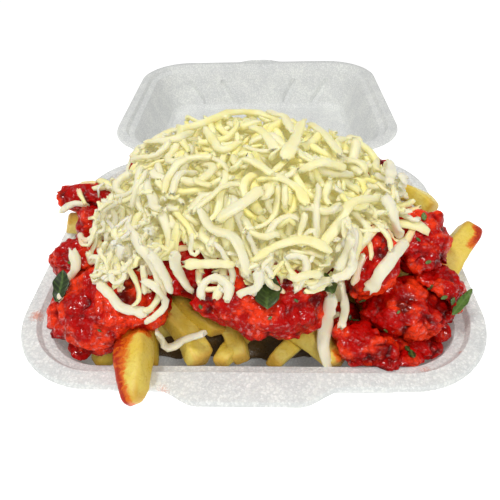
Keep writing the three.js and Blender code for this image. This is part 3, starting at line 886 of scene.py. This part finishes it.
def make_bits():
    """Small lumps of the same sauced meat, joined into one piece."""
    draw = random.Random(17)
    bits = []
    for n, (middle, wide) in enumerate(CHICKEN_BITS):
        put_down()
        bpy.ops.mesh.primitive_ico_sphere_add(
            subdivisions=5, radius=mm(wide / 2), location=mm(middle),
            scale=(draw.uniform(1.1, 1.5), draw.uniform(0.8, 1.1), draw.uniform(0.6, 0.85)),
            rotation=(draw.uniform(-0.4, 0.4), draw.uniform(-0.4, 0.4), draw.uniform(0, 3)))
        bit = start_piece(f"bit_{n}")
        put_down()
        dress_meat(bit, 40 + n, orange=0.1, share=0.6)
        bits.append(bit)
    return join(bits, "chicken_bits")


def make_sauce():
    """The uneven bed of sauce, in the place and form of its solid."""
    piece = node_copy("sauce", "sauce_bed")
    apply_modifier(piece, "REMESH", mode="VOXEL", voxel_size=mm(1.6))
    apply_modifier(piece, "SMOOTH", factor=0.5, iterations=8)
    move_points(piece, roughen(points_of(piece), ((7, 1.4), (3, 0.6)), seed=9))
    smooth(piece)
    return piece


# The cheese

# The grid over the tray on which heights are kept: its step and how far it goes to each side
GRID_STEP = 1.0
HALF_X, HALF_Y = 100, 96


class Ground:
    """How high the food stands, in millimetres, over a grid of the tray."""

    def __init__(self, pieces, lowest=0):
        xs = np.arange(-HALF_X, HALF_X + 1, GRID_STEP)
        ys = np.arange(-HALF_Y, HALF_Y + 1, GRID_STEP)
        self.height = np.full((len(ys), len(xs)), float(lowest))
        tree = tree_of(pieces)
        for row, y in enumerate(ys):
            for column, x in enumerate(xs):
                hit = tree.ray_cast(Vector((x, y, 150)) * MM, -UP)[0]
                if hit:
                    self.height[row, column] = max(lowest, hit.z / MM)

    def cell(self, x, y):
        """The row and the column of a place, held at the grid's edges."""
        rows, columns = self.height.shape
        row = min(max(int(round((y + HALF_Y) / GRID_STEP)), 0), rows - 1)
        return row, min(max(int(round((x + HALF_X) / GRID_STEP)), 0), columns - 1)

    def at(self, x, y):
        return self.height[self.cell(x, y)]

    def highest(self, x, y, heading, wide):
        """The highest ground across the width of a strand."""
        side_x, side_y = -math.sin(heading), math.cos(heading)
        return max(self.at(x + k * wide * side_x, y + k * wide * side_y) for k in (-0.4, 0, 0.4))

    def bury(self, line, wide, thick):
        """Raises the ground to the top of a strand along its line."""
        reach = 0.5 * wide
        beside = np.arange(-reach, reach + 0.5, GRID_STEP)
        spots = [(dx, dy) for dx in beside for dy in beside if dx * dx + dy * dy <= reach * reach]
        for a, b in zip(line, line[1:]):
            steps = max(1, int((b - a).length / (0.7 * GRID_STEP)))
            for n in range(steps):
                p = a.lerp(b, n / steps)
                for dx, dy in spots:
                    cell = self.cell(p.x + dx, p.y + dy)
                    self.height[cell] = max(self.height[cell], p.z + thick / 2)


# How far apart the points of a strand's line are before it is smoothed, and the highest that a
# shred may stand, which leaves room for the lid
DRAPE_STEP = 2.4
HIGHEST_SHRED = 94


def strand_blank(rings, sides):
    """One straight round strand along X, in units of its own size."""
    put_down()
    bpy.ops.mesh.primitive_cylinder_add(vertices=sides, radius=0.5, depth=1, rotation=(0, math.pi / 2, 0))
    blank = start_piece("strand_blank")
    pick(blank, "EDGE", lambda e: abs(e.verts[0].co.x - e.verts[1].co.x) > 0.5)
    bpy.ops.mesh.subdivide(number_cuts=rings)
    put_down()
    return blank


def drape(ground, x, y, heading, length, bend, wave, wide):
    """The line of a strand that winds over the heap, hangs down its cliffs and bridges its dips."""
    steps = max(3, int(round(length / DRAPE_STEP)))
    step = length / steps
    z = ground.highest(x, y, heading, wide)
    line = [Vector((x, y, z))]
    for n in range(steps):
        ahead = ground.highest(x + step * math.cos(heading), y + step * math.sin(heading), heading, wide)
        rise = min(max(ahead - z, -0.97 * step), 0.9 * step)
        run = math.sqrt(step * step - rise * rise)
        x += run * math.cos(heading)
        y += run * math.sin(heading)
        z = max(z + rise, ground.highest(x, y, heading, wide) - 0.8)
        line.append(Vector((x, y, z)))
        heading += (bend + wave * math.cos(2.2 * math.pi * n / steps)) / steps
    settle(line)
    return line


def settle(line, rounds=4, give=0.6):
    """Evens out a strand: it bridges dips, and presses a little into what stands up under it."""
    for _ in range(rounds):
        before = [p.z for p in line]
        for i in range(1, len(line) - 1):
            line[i].z = max(before[i] - give, (before[i - 1] + before[i + 1]) / 2)


def smooth_line(points, share):
    """Points at given shares of the length of a smooth curve through the given ones."""
    padded = [2 * points[0] - points[1], *points, 2 * points[-1] - points[-2]]
    dense = []
    for i in range(1, len(padded) - 2):
        p0, p1, p2, p3 = padded[i - 1 : i + 3]
        for n in range(12):
            t = n / 12
            dense.append(0.5 * ((2 * p1) + (p2 - p0) * t + (2 * p0 - 5 * p1 + 4 * p2 - p3) * t * t
                                + (3 * p1 - p0 - 3 * p2 + p3) * t ** 3))
    dense.append(points[-1].copy())
    run = np.concatenate([[0], np.cumsum([(b - a).length for a, b in zip(dense, dense[1:])])])
    wanted = run[-1] * np.asarray(share)
    flat = np.array([tuple(p) for p in dense])
    return np.stack([np.interp(wanted, run, flat[:, k]) for k in range(3)], axis=1)


def lay_strand(blank, name, line, wide, thick, draw, tone, tear=0.16):
    """A copy of the blank swept along a line: flat, a little hollow, twisted, with blunt ends."""
    strand = copy_of(blank, name)
    local = points_of(strand)
    ring = np.unique(local[:, 0].round(4), return_inverse=True)[1].ravel()
    last = ring.max()
    share = 0.5 - 0.5 * np.cos(math.pi * np.arange(last + 1) / last)
    path = smooth_line(line, share)
    along = np.gradient(path, axis=0)
    along /= np.linalg.norm(along, axis=1)[:, None]
    across = np.stack([-along[:, 1], along[:, 0], np.zeros(len(along))], axis=1)
    across /= np.maximum(np.linalg.norm(across, axis=1)[:, None], 1e-6)
    upward = np.cross(along, across)
    s = share[ring]
    ends = np.minimum(s, 1 - s)
    twist = draw.uniform(-0.4, 0.4) + draw.uniform(-1.0, 1.0) * (s - 0.5)
    blunt = np.clip(0.62 + draw.uniform(4, 9) * ends, 0, 1)
    swell = 1 + 0.1 * np.sin(draw.uniform(0, 6) + draw.uniform(4, 9) * s)
    torn = np.array([[draw.uniform(1 - tear, 1 + tear) for _ in share] for _ in range(2)])
    swell *= torn[(local[:, 1] > 0).astype(int), ring]
    u = local[:, 1] * wide * blunt * swell
    v = local[:, 2] * thick * blunt
    v += draw.uniform(-0.35, 0.3) * thick * ((2 * u / wide) ** 2 - 0.4)
    side = np.cos(twist)[:, None] * across[ring] + np.sin(twist)[:, None] * upward[ring]
    top = np.cos(twist)[:, None] * upward[ring] - np.sin(twist)[:, None] * across[ring]
    cut_end = np.where((ring == 0) | (ring == last), (0.15 + tear) * wide, 0)
    ragged = cut_end * np.sin(9 * local[:, 1] + draw.uniform(0, 6))
    points = path[ring] + u[:, None] * side + v[:, None] * top + ragged[:, None] * along[ring]
    move_points(strand, points * MM)
    note(strand, "tone", np.full(len(points), tone))
    return strand


def cheese_core():
    """The close-packed inside of the heap, which the strands lie on: a dome with a short foot."""
    foot = 50
    put_down()
    bpy.ops.mesh.primitive_uv_sphere_add(
        segments=72, ring_count=48, radius=1, location=mm((0, 4, foot)), scale=mm((53, 43, 30)))
    core = start_piece("cheese_core")
    bpy.ops.mesh.select_all(action="SELECT")
    bpy.ops.mesh.bisect(plane_co=mm((0, 0, foot - 6)), plane_no=(0, 0, 1), clear_inner=True, use_fill=True)
    put_down()
    move_points(core, roughen(points_of(core), ((7, 2.2), (3, 1.4)), seed=5))
    note(core, "tone", np.zeros(len(core.data.vertices)))
    return core


# The middle and the half widths of the patch on which the heap's shreds and crumbs lie
HEAP = {"x": 0, "y": 2, "rx": 64, "ry": 55}

# How many shreds and crumbs are laid, each in the best of how many places
SHRED_COUNT, CRUMB_COUNT = 1050, 300
SHRED_TRIES, CRUMB_TRIES = 14, 8

# The crumbs come after this share of the shreds, and the shreds after them are the long ones on top
CRUMBS_AFTER = 0.55

# How far below the heap's full height a place has to be for a shred inside and for one on top,
# which may rise a little over it
LEAST_LACK = {"inside": 1, "top": -0.6}

# A shred is left out where it would stand this far over the heap's full height, save at the heap's
# foot, which goes up to the second height, or where it would hang down further than its kind may
MOST_OVER = 3.6
HEAP_FOOT = 45
MOST_DROP = {"shred": 12.5, "crumb": 5, "outer": 11}

# The kinds of loose shreds: their length and width, each as least, most and usual, how much they
# wind, and their share of all
SHREDS = [
    {"length": (14, 40, 24), "wide": (2.2, 4.5, 3.0), "bend": 1.8, "share": 0.6},
    {"length": (9, 22, 14), "wide": (1.5, 3.0, 2.2), "bend": 1.8, "share": 0.28},
    {"length": (4, 10, 6), "wide": (1.6, 3.2, 2.3), "bend": 0.8, "share": 0.12},
]
LONG_SHRED, SHORT_SHRED, CRUMB = SHREDS


def loose_shred(ground, x, y, draw, kind=None, heading=None):
    """The line, width and thickness of one loose shred round a given middle, of any kind unless given."""
    kind = kind or draw.choices(SHREDS, [k["share"] for k in SHREDS])[0]
    length = draw.triangular(*kind["length"])
    wide = draw.triangular(*kind["wide"])
    thick = wide * draw.uniform(0.45, 0.75)
    if heading is None:
        heading = draw.uniform(0, 2 * math.pi)
    else:
        heading = math.radians(heading) + draw.gauss(0, 0.35)
    x -= 0.5 * length * math.cos(heading)
    y -= 0.5 * length * math.sin(heading)
    bend = draw.gauss(0, kind["bend"])
    line = drape(ground, x, y, heading - bend / 2, length, bend, draw.gauss(0, kind["bend"]), wide)
    for p in line:
        p.z += thick / 2 - 0.5
    return line, wide, thick


# Shreds that lie past the heap's foot: the pixel round which they lie, their spread, their number
# and, where they lie in one direction, their heading in degrees
OUTER_SHREDS = [
    {"pixel": (118, 258), "spread": (22, 28), "count": 90},
    {"pixel": (154, 272), "spread": (18, 20), "count": 34},
    {"pixel": (104, 215), "spread": (9, 26), "count": 22},
    {"pixel": (255, 270), "spread": (40, 8), "count": 20},
    {"pixel": (345, 256), "spread": (20, 12), "count": 16, "heading": -100},
    {"pixel": (392, 185), "spread": (8, 22), "count": 14},
]

# How high they may lie over what is there before them
OUTER_DEPTH = 13


def outer_shreds(ground, blank, draw):
    """Clusters of shreds round the heap's foot, at most a few deep."""
    strands = []
    before = deepcopy(ground)
    for cluster in OUTER_SHREDS:
        for _ in range(cluster["count"]):
            pixel = [c + s * draw.triangular(-1, 1, 0) for c, s in zip(cluster["pixel"], cluster["spread"])]
            place = place_on_heap(ground, pixel)
            kind = draw.choices(SHREDS, (0.05, 0.5, 0.45))[0]
            line, wide, thick = loose_shred(ground, place.x, place.y, draw, kind, cluster.get("heading"))
            depth = max(p.z - before.at(p.x, p.y) for p in line)
            if drop(line) > MOST_DROP["outer"] or depth > OUTER_DEPTH:
                continue
            curl_ends(line, draw)
            ground.bury(line, wide, thick)
            name, tone = f"outer_{len(strands)}", draw.uniform(0.3, 1)
            strands.append(lay_strand(blank, name, line, wide, thick, draw, tone))
    return strands


def drop(line):
    """How far down a strand hangs."""
    return max(p.z for p in line) - min(p.z for p in line)


def somewhere(draw, share=1):
    """A place anywhere on that share of the heap, and how far out it is, from 0 in the middle to 1."""
    rho, turn = math.sqrt(draw.random()), draw.uniform(0, 2 * math.pi)
    x = HEAP["x"] + share * HEAP["rx"] * rho * math.cos(turn)
    y = HEAP["y"] + share * HEAP["ry"] * rho * math.sin(turn)
    return x, y, rho


def fill_heap(ground, target, blank, crumb_blank, draw):
    """Loose shreds, each where the heap lacks most of a few places, the longer ones on top."""
    strands = []
    crumbs_at = int(CRUMBS_AFTER * SHRED_COUNT)
    for n in range(SHRED_COUNT):
        if n == crumbs_at:
            strands += crumbs(ground, crumb_blank, draw)
        on_top = n > crumbs_at
        spots = [somewhere(draw) for _ in range(SHRED_TRIES)]
        lack, x, y, rho = max((target.at(x, y) - ground.at(x, y), x, y, rho) for x, y, rho in spots)
        if lack < LEAST_LACK["top" if on_top else "inside"]:
            continue
        top_kind = LONG_SHRED if rho < 0.85 else SHORT_SHRED
        line, wide, thick = loose_shred(ground, x, y, draw, top_kind if on_top else None)
        over = [p.z - target.at(p.x, p.y) for p in line if target.at(p.x, p.y) > HEAP_FOOT]
        if max(over, default=0) > MOST_OVER or drop(line) > MOST_DROP["shred"]:
            continue
        curl_ends(line, draw)
        ground.bury(line, wide, thick)
        # Whiter at the heap's foot, to the front and the left, and on top
        whiteness = 0.3 * rho ** 3 - 0.004 * y - 0.002 * x + draw.uniform(-0.25, 0.35) + 0.2 * on_top
        tone = min(1, max(0, whiteness))
        strands.append(lay_strand(blank, f"shred_{n}", line, wide, thick, draw, tone))
    return strands


def crumbs(ground, blank, draw):
    """Small broken bits, each in the deepest dip of a few."""
    def dip(x, y):
        around = [ground.at(x + dx, y + dy) for dx, dy in ((3, 0), (-3, 0), (0, 3), (0, -3))]
        return sum(around) / 4 - ground.at(x, y)

    bits = []
    for n in range(CRUMB_COUNT):
        spots = [somewhere(draw, 0.97) for _ in range(CRUMB_TRIES)]
        _, x, y = max((dip(x, y), x, y) for x, y, _ in spots)
        line, wide, thick = loose_shred(ground, x, y, draw, CRUMB)
        if drop(line) > MOST_DROP["crumb"]:
            continue
        ground.bury(line, wide, thick)
        tone = draw.uniform(0, 0.7)
        bits.append(lay_strand(blank, f"crumb_{n}", line, wide, thick, draw, tone, tear=0.3))
    return bits


def curl_ends(line, draw):
    """Now and then an end stands up from the heap, and a strand arches."""
    lift = [draw.uniform(0, 4) if draw.random() < 0.25 else 0 for _ in range(2)]
    last = len(line) - 1
    arch = draw.uniform(0, 2) if draw.random() < 0.2 else 0
    for i, p in enumerate(line):
        t = i / last
        raised = lift[0] * (1 - t) ** 3 + lift[1] * t ** 3
        p.z = min(p.z + raised + arch * math.sin(math.pi * t), HIGHEST_SHRED)


# The camera, which also places the strands that stand out

CAMERA_PLACE = Vector((6, -159, 181))
CAMERA_PITCH, CAMERA_YAW, CAMERA_ROLL = (math.radians(a) for a in (42.9, 2.62, -1.9))

# The picture's side and the focal length in pixels, and the sensor's width in millimetres
PICTURE = 500
FOCAL = 454
SENSOR = 36

# A line of sight is followed from that far before the camera to that far back in the tray
SIGHT_START = 110
SIGHT_END_Y = 56


def camera_axes():
    """Right, up and forward of the camera, in the box's frame."""
    c, s = math.cos(CAMERA_YAW), math.sin(CAMERA_YAW)
    ct, st = math.cos(CAMERA_PITCH), math.sin(CAMERA_PITCH)
    level = Vector((c, s, 0))
    rise = Vector((-st * s, st * c, ct))
    forward = Vector((-ct * s, ct * c, -st))
    right = math.cos(CAMERA_ROLL) * level + math.sin(CAMERA_ROLL) * rise
    up = -math.sin(CAMERA_ROLL) * level + math.cos(CAMERA_ROLL) * rise
    return right, up, forward


def camera_ray(pixel):
    """The direction in which the camera sees a pixel of its picture."""
    right, up, forward = camera_axes()
    centre = PICTURE / 2
    return (forward + right * (pixel[0] - centre) / FOCAL - up * (pixel[1] - centre) / FOCAL).normalized()


def set_camera():
    right, up, forward = camera_axes()
    camera = bpy.data.objects.new("camera", bpy.data.cameras.new("camera"))
    bpy.context.scene.collection.objects.link(camera)
    camera.data.sensor_width = SENSOR
    camera.data.lens = SENSOR * FOCAL / PICTURE
    turn = Matrix((right, up, -forward)).transposed().to_4x4()
    camera.matrix_world = Matrix.Translation(CAMERA_PLACE * MM) @ turn
    bpy.context.scene.camera = camera


def place_on_heap(ground, pixel):
    """The point of the heap that the camera sees at a pixel, or the nearest one to that line of sight."""
    ray = camera_ray(pixel)
    step = 0.4 * ray
    spot = CAMERA_PLACE + SIGHT_START * ray
    closest, best = None, math.inf
    while spot.y < SIGHT_END_Y and spot.z > 0:
        clear = spot.z - ground.at(spot.x, spot.y)
        if clear < -2:
            return spot - step
        if clear < best:
            closest, best = spot.copy(), clear
        if clear <= 0:
            break
        spot += step
    closest.z = ground.at(closest.x, closest.y)
    return closest


# Strands that stand out, by the pixels they pass, with the width in millimetres that each seems to
# have
LEADING_STRANDS = {
    "long_top_arc": (4.4, [(189, 152), (180, 131), (207, 124), (225, 112), (263, 111), (292, 130)]),
    "left_arc": (4.6, [(140, 148), (169, 124), (176, 134)]),
    "left_under_arc": (4.0, [(146, 142), (172, 139), (192, 132)]),
    "upright_hook": (4.6, [(205, 128), (213, 140), (222, 150), (240, 142)]),
    "thick_chunk": (6.6, [(301, 119), (296, 138), (284, 160)]),
    "broad_ribbon": (5.6, [(262, 189), (240, 206), (217, 224)]),
    "middle_arc": (4.6, [(257, 181), (276, 177), (296, 187), (307, 204)]),
    "small_arc": (4.4, [(232, 170), (246, 160), (273, 174)]),
    "right_sweep": (5.2, [(322, 246), (341, 221), (353, 202), (384, 198)]),
    "right_drop": (6.0, [(385, 197), (391, 214), (399, 237)]),
    "right_ribbon": (6.2, [(405, 242), (388, 262), (369, 290)]),
    "front_hanging": (6.0, [(332, 297), (326, 322), (323, 345), (330, 372)]),
    "front_hanging_small": (4.0, [(341, 284), (345, 307), (341, 328)]),
    "front_left_strand": (5.8, [(100, 284), (112, 297), (122, 308), (147, 313)]),
    "left_strand": (5.2, [(73, 251), (76, 267), (64, 285), (60, 300)]),
    "left_top_strand": (4.4, [(61, 211), (75, 206), (89, 206)]),
    "flat_ribbon": (5.6, [(185, 264), (209, 264), (233, 264)]),
    "arch": (4.2, [(202, 300), (202, 286), (215, 277), (229, 288), (227, 304)]),
    "hook_right": (4.2, [(238, 294), (257, 288), (259, 273)]),
    "long_middle": (5.0, [(200, 211), (211, 229), (231, 236), (242, 254), (248, 278)]),
    "left_cascade": (4.4, [(128, 226), (140, 246), (152, 262), (160, 282), (164, 302)]),
    "left_cascade_side": (4.2, [(150, 252), (160, 268), (171, 291)]),
    "left_fall": (3.6, [(143, 281), (157, 290), (165, 306), (146, 326)]),
    "front_short": (5.6, [(173, 254), (178, 272), (190, 290)]),
    "right_inner": (5.2, [(352, 236), (346, 256), (338, 272)]),
    "right_curve": (4.2, [(353, 250), (350, 272), (332, 280)]),
    "right_upper": (5.0, [(391, 155), (391, 172), (388, 186)]),
    "right_upper_side": (4.6, [(402, 160), (404, 178), (400, 196)]),
    "top_knot": (5.0, [(268, 112), (281, 106), (284, 116), (292, 132)]),
    "upper_middle": (5.0, [(252, 128), (262, 132), (275, 150), (270, 160)]),
    "upper_right": (5.2, [(310, 126), (325, 138), (340, 158)]),
    "right_flat": (5.0, [(300, 170), (322, 166), (345, 168)]),
    "front_flat": (5.6, [(252, 262), (275, 246), (305, 240), (330, 250)]),
    "fries_hook": (5.2, [(157, 332), (168, 348), (184, 341), (206, 333)]),
}

# How wide a strand is against how wide it seems, which blur and shade add to
STRAND_SHARE = 0.8

# The strands that lie apart from the heap, each with its solid
STRAY_NODES = {
    "left_strand": "strand_left_lower",
    "left_top_strand": "strand_left_upper",
    "fries_hook": "strand_fries",
}


def keep_together(seen):
    """Draws points nearer along their lines of sight where a strand would leap to what lies far behind."""
    last = len(seen) - 1
    steps = [(i, i - 1) for i in range(1, last + 1)] + [(i, i + 1) for i in range(last - 1, -1, -1)]
    for i, beside in steps:
        sight = (seen[i] - CAMERA_PLACE).normalized()
        away = (seen[beside] - CAMERA_PLACE).length
        most = away + 2 * (CAMERA_PLACE + away * sight - seen[beside]).length
        if (seen[i] - CAMERA_PLACE).length > most:
            seen[i] = CAMERA_PLACE + most * sight


def drawn_clear(p, ground, sight):
    """A point that lies in the heap, drawn back along its line of sight to where it comes free."""
    for _ in range(60):
        if p.z >= ground.at(p.x, p.y):
            break
        p = p - 0.5 * sight
    return p


def in_sight(p, sight):
    """A point at the same height, moved to where the camera keeps seeing it."""
    z = min(p.z, HIGHEST_SHRED)
    return CAMERA_PLACE + sight * ((z - CAMERA_PLACE.z) / sight.z)


def leading_strands(ground, names, draw):
    """Each keeps the line that the camera sees, lies on what is under it and is whiter further out."""
    blank = strand_blank(rings=16, sides=10)
    strands = {}
    for name in names:
        wide, pixels = LEADING_STRANDS[name]
        wide *= STRAND_SHARE
        thick = draw.uniform(0.5, 0.7) * wide
        seen = [place_on_heap(ground, pixel) for pixel in pixels]
        keep_together(seen)
        line = [Vector(tuple(p)) for p in smooth_line(seen, np.linspace(0, 1, 4 * len(seen)))]
        sights = [(p - CAMERA_PLACE).normalized() for p in line]
        line = [drawn_clear(p, ground, sight) for p, sight in zip(line, sights)]
        settle(line, rounds=6, give=0.3)
        line = [in_sight(p, sight) for p, sight in zip(line, sights)]
        line = [drawn_clear(p, ground, sight) for p, sight in zip(line, sights)]
        line = [in_sight(p + (thick / 2 - 0.2) * UP, sight) for p, sight in zip(line, sights)]
        ground.bury(line, wide, thick)
        outward = max(0, abs(pixels[0][0] - PICTURE / 2) - 70) + 1.2 * max(0, pixels[-1][1] - 230)
        tone = min(0.8, draw.uniform(0.1, 0.5) + outward / 160)
        strands[name] = lay_strand(blank, name, line, wide, thick, draw, tone, tear=0.14)
    bpy.data.objects.remove(blank)
    return strands


def make_cheese(under, chicken_tree):
    """The heap and the strands apart from it: the outlying strands first, the leading ones last."""
    draw = random.Random(8)
    core = cheese_core()
    target = Ground([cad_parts["cheese"]])
    ground = Ground([*under, core], lowest=20)
    outlying = leading_strands(ground, [*STRAY_NODES, "front_left_strand"], draw)
    blank, crumb_blank = strand_blank(rings=9, sides=6), strand_blank(rings=2, sides=5)
    loose = fill_heap(ground, target, blank, crumb_blank, draw)
    loose += outer_shreds(ground, blank, draw)
    bpy.data.objects.remove(blank)
    bpy.data.objects.remove(crumb_blank)
    leading = leading_strands(ground, [n for n in LEADING_STRANDS if n not in outlying], draw)
    strays = {node: outlying.pop(name) for name, node in STRAY_NODES.items()}
    heap = join([core, *loose, *leading.values(), *outlying.values()], "cheese_heap")
    for node, stray in strays.items():
        stray.name = node + "_shred"
    for piece in (heap, *strays.values()):
        move_points(piece, roughen(points_of(piece), ((3, 0.35),), seed=1))
        smooth(piece)
        stain(piece, chicken_tree, 2.5)
    return heap, strays


# The herbs

# The leaves that have a solid: how green they are, from dark to light, and how far they are moved
# from the middle of the solid to where they show
HERB_PIECES = {
    "herb_right": {"length": 15, "width": 3.2, "tone": 0.6, "shift": (-2.5, 1.5, -1)},
    "herb_centre": {"length": 15, "width": 9, "tone": 0.1, "shift": (3, -4.5, -4)},
    "herb_centre_right": {"length": 12, "width": 6, "tone": 0.15},
    "herb_left": {"length": 12, "width": 6, "tone": 0, "shift": (1.8, -3, -4.2)},
}

# Flecks of chopped herb, by the pixels where they lie on the chicken, with their length in millimetres
HERB_FLECKS = [
    ((412, 355), 4.5), ((408, 349), 3), ((452, 301), 3.2), ((444, 297), 2.6), ((431, 288), 3),
    ((355, 321), 3.4), ((350, 318), 2.4), ((424, 217), 3.4), ((428, 262), 2.4), ((362, 300), 2.6),
    ((206, 318), 3), ((201, 306), 2.4), ((71, 262), 3), ((66, 286), 2.6), ((386, 330), 1.8),
    ((296, 300), 1.8), ((418, 240), 2), ((398, 312), 1.6), ((100, 330), 1.6), ((270, 318), 1.6),
]


def leaf_axes(node):
    """The middle, the long way, the cross way and the facing of a leaf's solid."""
    points = points_of(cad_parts[node]) / MM
    middle = points.mean(axis=0)
    _, _, axes = np.linalg.svd(points - middle, full_matrices=False)
    face = axes[2] if axes[2][2] > 0 else -axes[2]
    return middle, axes[0], np.cross(face, axes[0]), face


def leaf_sheet(name, length, width, tone, axes, rows=26, seed=0, shift=(0, 0, 0)):
    """A thin wavy leaf with a fold along its middle vein and finer veins to its edges."""
    middle, along, across, face = axes
    middle = middle + np.array(shift)
    put_down()
    bpy.ops.mesh.primitive_grid_add(x_subdivisions=rows, y_subdivisions=rows // 2, size=1)
    leaf = start_piece(name)
    put_down()
    local = points_of(leaf)
    t, w = local[:, 0], 2 * local[:, 1]
    half = width / 2 * (0.05 + np.maximum(np.sin(math.pi * (t + 0.5)), 0) ** 0.65)
    half *= 1 + 0.07 * np.sin(17 * t + seed) * np.abs(w)
    lift = 0.16 * np.abs(w) * half + 0.08 * length * (2 * t) ** 2 + 0.08 * width * w * np.sin(9 * t + seed)
    points = middle + np.outer(t * length, along) + np.outer(w * half, across) + np.outer(lift, face)
    move_points(leaf, points * MM)
    vein_gap = 2.1
    side_vein = np.abs(((t * length - 0.9 * np.abs(w) * half) / vein_gap) % 1 - 0.5)
    vein = np.exp(-((w * half / 0.3) ** 2)) + 0.5 * np.exp(-((side_vein * vein_gap / 0.25) ** 2))
    note(leaf, "vein", np.clip(vein, 0, 1) * 0.7)
    note(leaf, "tone", np.full(len(points), tone))
    apply_modifier(leaf, "SOLIDIFY", thickness=mm(0.35), offset=0)
    smooth(leaf)
    return leaf


def make_flecks(tree):
    """The flecks, each laid on the chicken where the camera sees it."""
    draw = random.Random(4)
    flecks = []
    for n, (pixel, length) in enumerate(HERB_FLECKS):
        place, facing, _, _ = tree.ray_cast(CAMERA_PLACE * MM, camera_ray(pixel))
        if place is None:
            continue
        turn = draw.uniform(0, math.pi)
        level = facing.orthogonal().normalized()
        along = math.cos(turn) * level + math.sin(turn) * facing.cross(level)
        axes = [np.array(v) for v in (place / MM + 0.3 * facing, along, facing.cross(along), facing)]
        flecks.append(leaf_sheet(f"fleck_{n}", length, 0.55 * length, draw.uniform(0, 0.6), axes,
                                 rows=8, seed=n))
    return join(flecks, "herb_flecks")


# The setting

def set_floor():
    put_down()
    bpy.ops.mesh.primitive_plane_add(size=60, location=(0, 0, 0))
    floor = bpy.context.object
    floor.name = "floor"
    finish = Finish("pale_floor")
    finish.set(base_color=(0.9, 0.9, 0.9, 1), roughness=0.9, specular_ior_level=0.1,
               emission_color=(1, 1, 1, 1), emission_strength=0.55)
    floor.data.materials.append(finish.material)


def add_light(name, place, size, energy):
    """A square light that faces the food. The sizes of lights are in metres."""
    light = bpy.data.objects.new(name, bpy.data.lights.new(name, "AREA"))
    bpy.context.scene.collection.objects.link(light)
    light.data.size = size
    light.data.energy = energy
    light.location = place
    aim = Vector((0, 0, 0.04)) - Vector(place)
    light.rotation_euler = aim.to_track_quat("-Z", "Y").to_euler()


def set_lights():
    world = bpy.data.worlds.new("studio")
    world.use_nodes = True
    background = world.node_tree.nodes["Background"]
    background.inputs["Color"].default_value = (1, 1, 1, 1)
    background.inputs["Strength"].default_value = 0.36
    bpy.context.scene.world = world
    add_light("key", (-0.25, -0.05, 0.8), 0.16, 2.4)
    add_light("front", (0.2, -0.5, 0.7), 0.2, 2.5)
    bpy.context.scene.view_settings.view_transform = "Standard"


# The making

set_camera()
set_lights()
set_floor()

tray = make_tray()
lid = make_lid()
hinge = make_hinge()
chicken = {node: make_chicken(node, n) for n, node in enumerate(CHICKEN_NODES)}
bits = make_bits()
chicken_tree = tree_of([*chicken.values(), bits])
sauce = make_sauce()
fries = make_fries(chicken_tree)
heap, strays = make_cheese([fries, sauce, bits, *chicken.values()], chicken_tree)
leaves = {node: leaf_sheet(node + "_leaf", axes=leaf_axes(node), **leaf)
          for node, leaf in HERB_PIECES.items()}
flecks = make_flecks(chicken_tree)

finish_piece(tray, FOAM, "box", "foam", "tray")
finish_piece(lid, FOAM, "lid", "foam", "lid")
hinge.data.materials.append(FOAM)
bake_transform(hinge)
finish_piece(fries, POTATO, "box", "fries", "fries")
finish_piece(sauce, SAUCE, "box", "sauce", "sauce")
for node, piece in chicken.items():
    finish_piece(piece, CHICKEN, "box", "chicken", node)
finish_piece(bits, CHICKEN, "box", "chicken")
finish_piece(heap, CHEESE, "box", "cheese", "cheese")
for node, piece in strays.items():
    finish_piece(piece, CHEESE, "box", "cheese", node)
for node, piece in leaves.items():
    finish_piece(piece, HERB, "box", "herb", node)
finish_piece(flecks, HERB, "box", "herb")
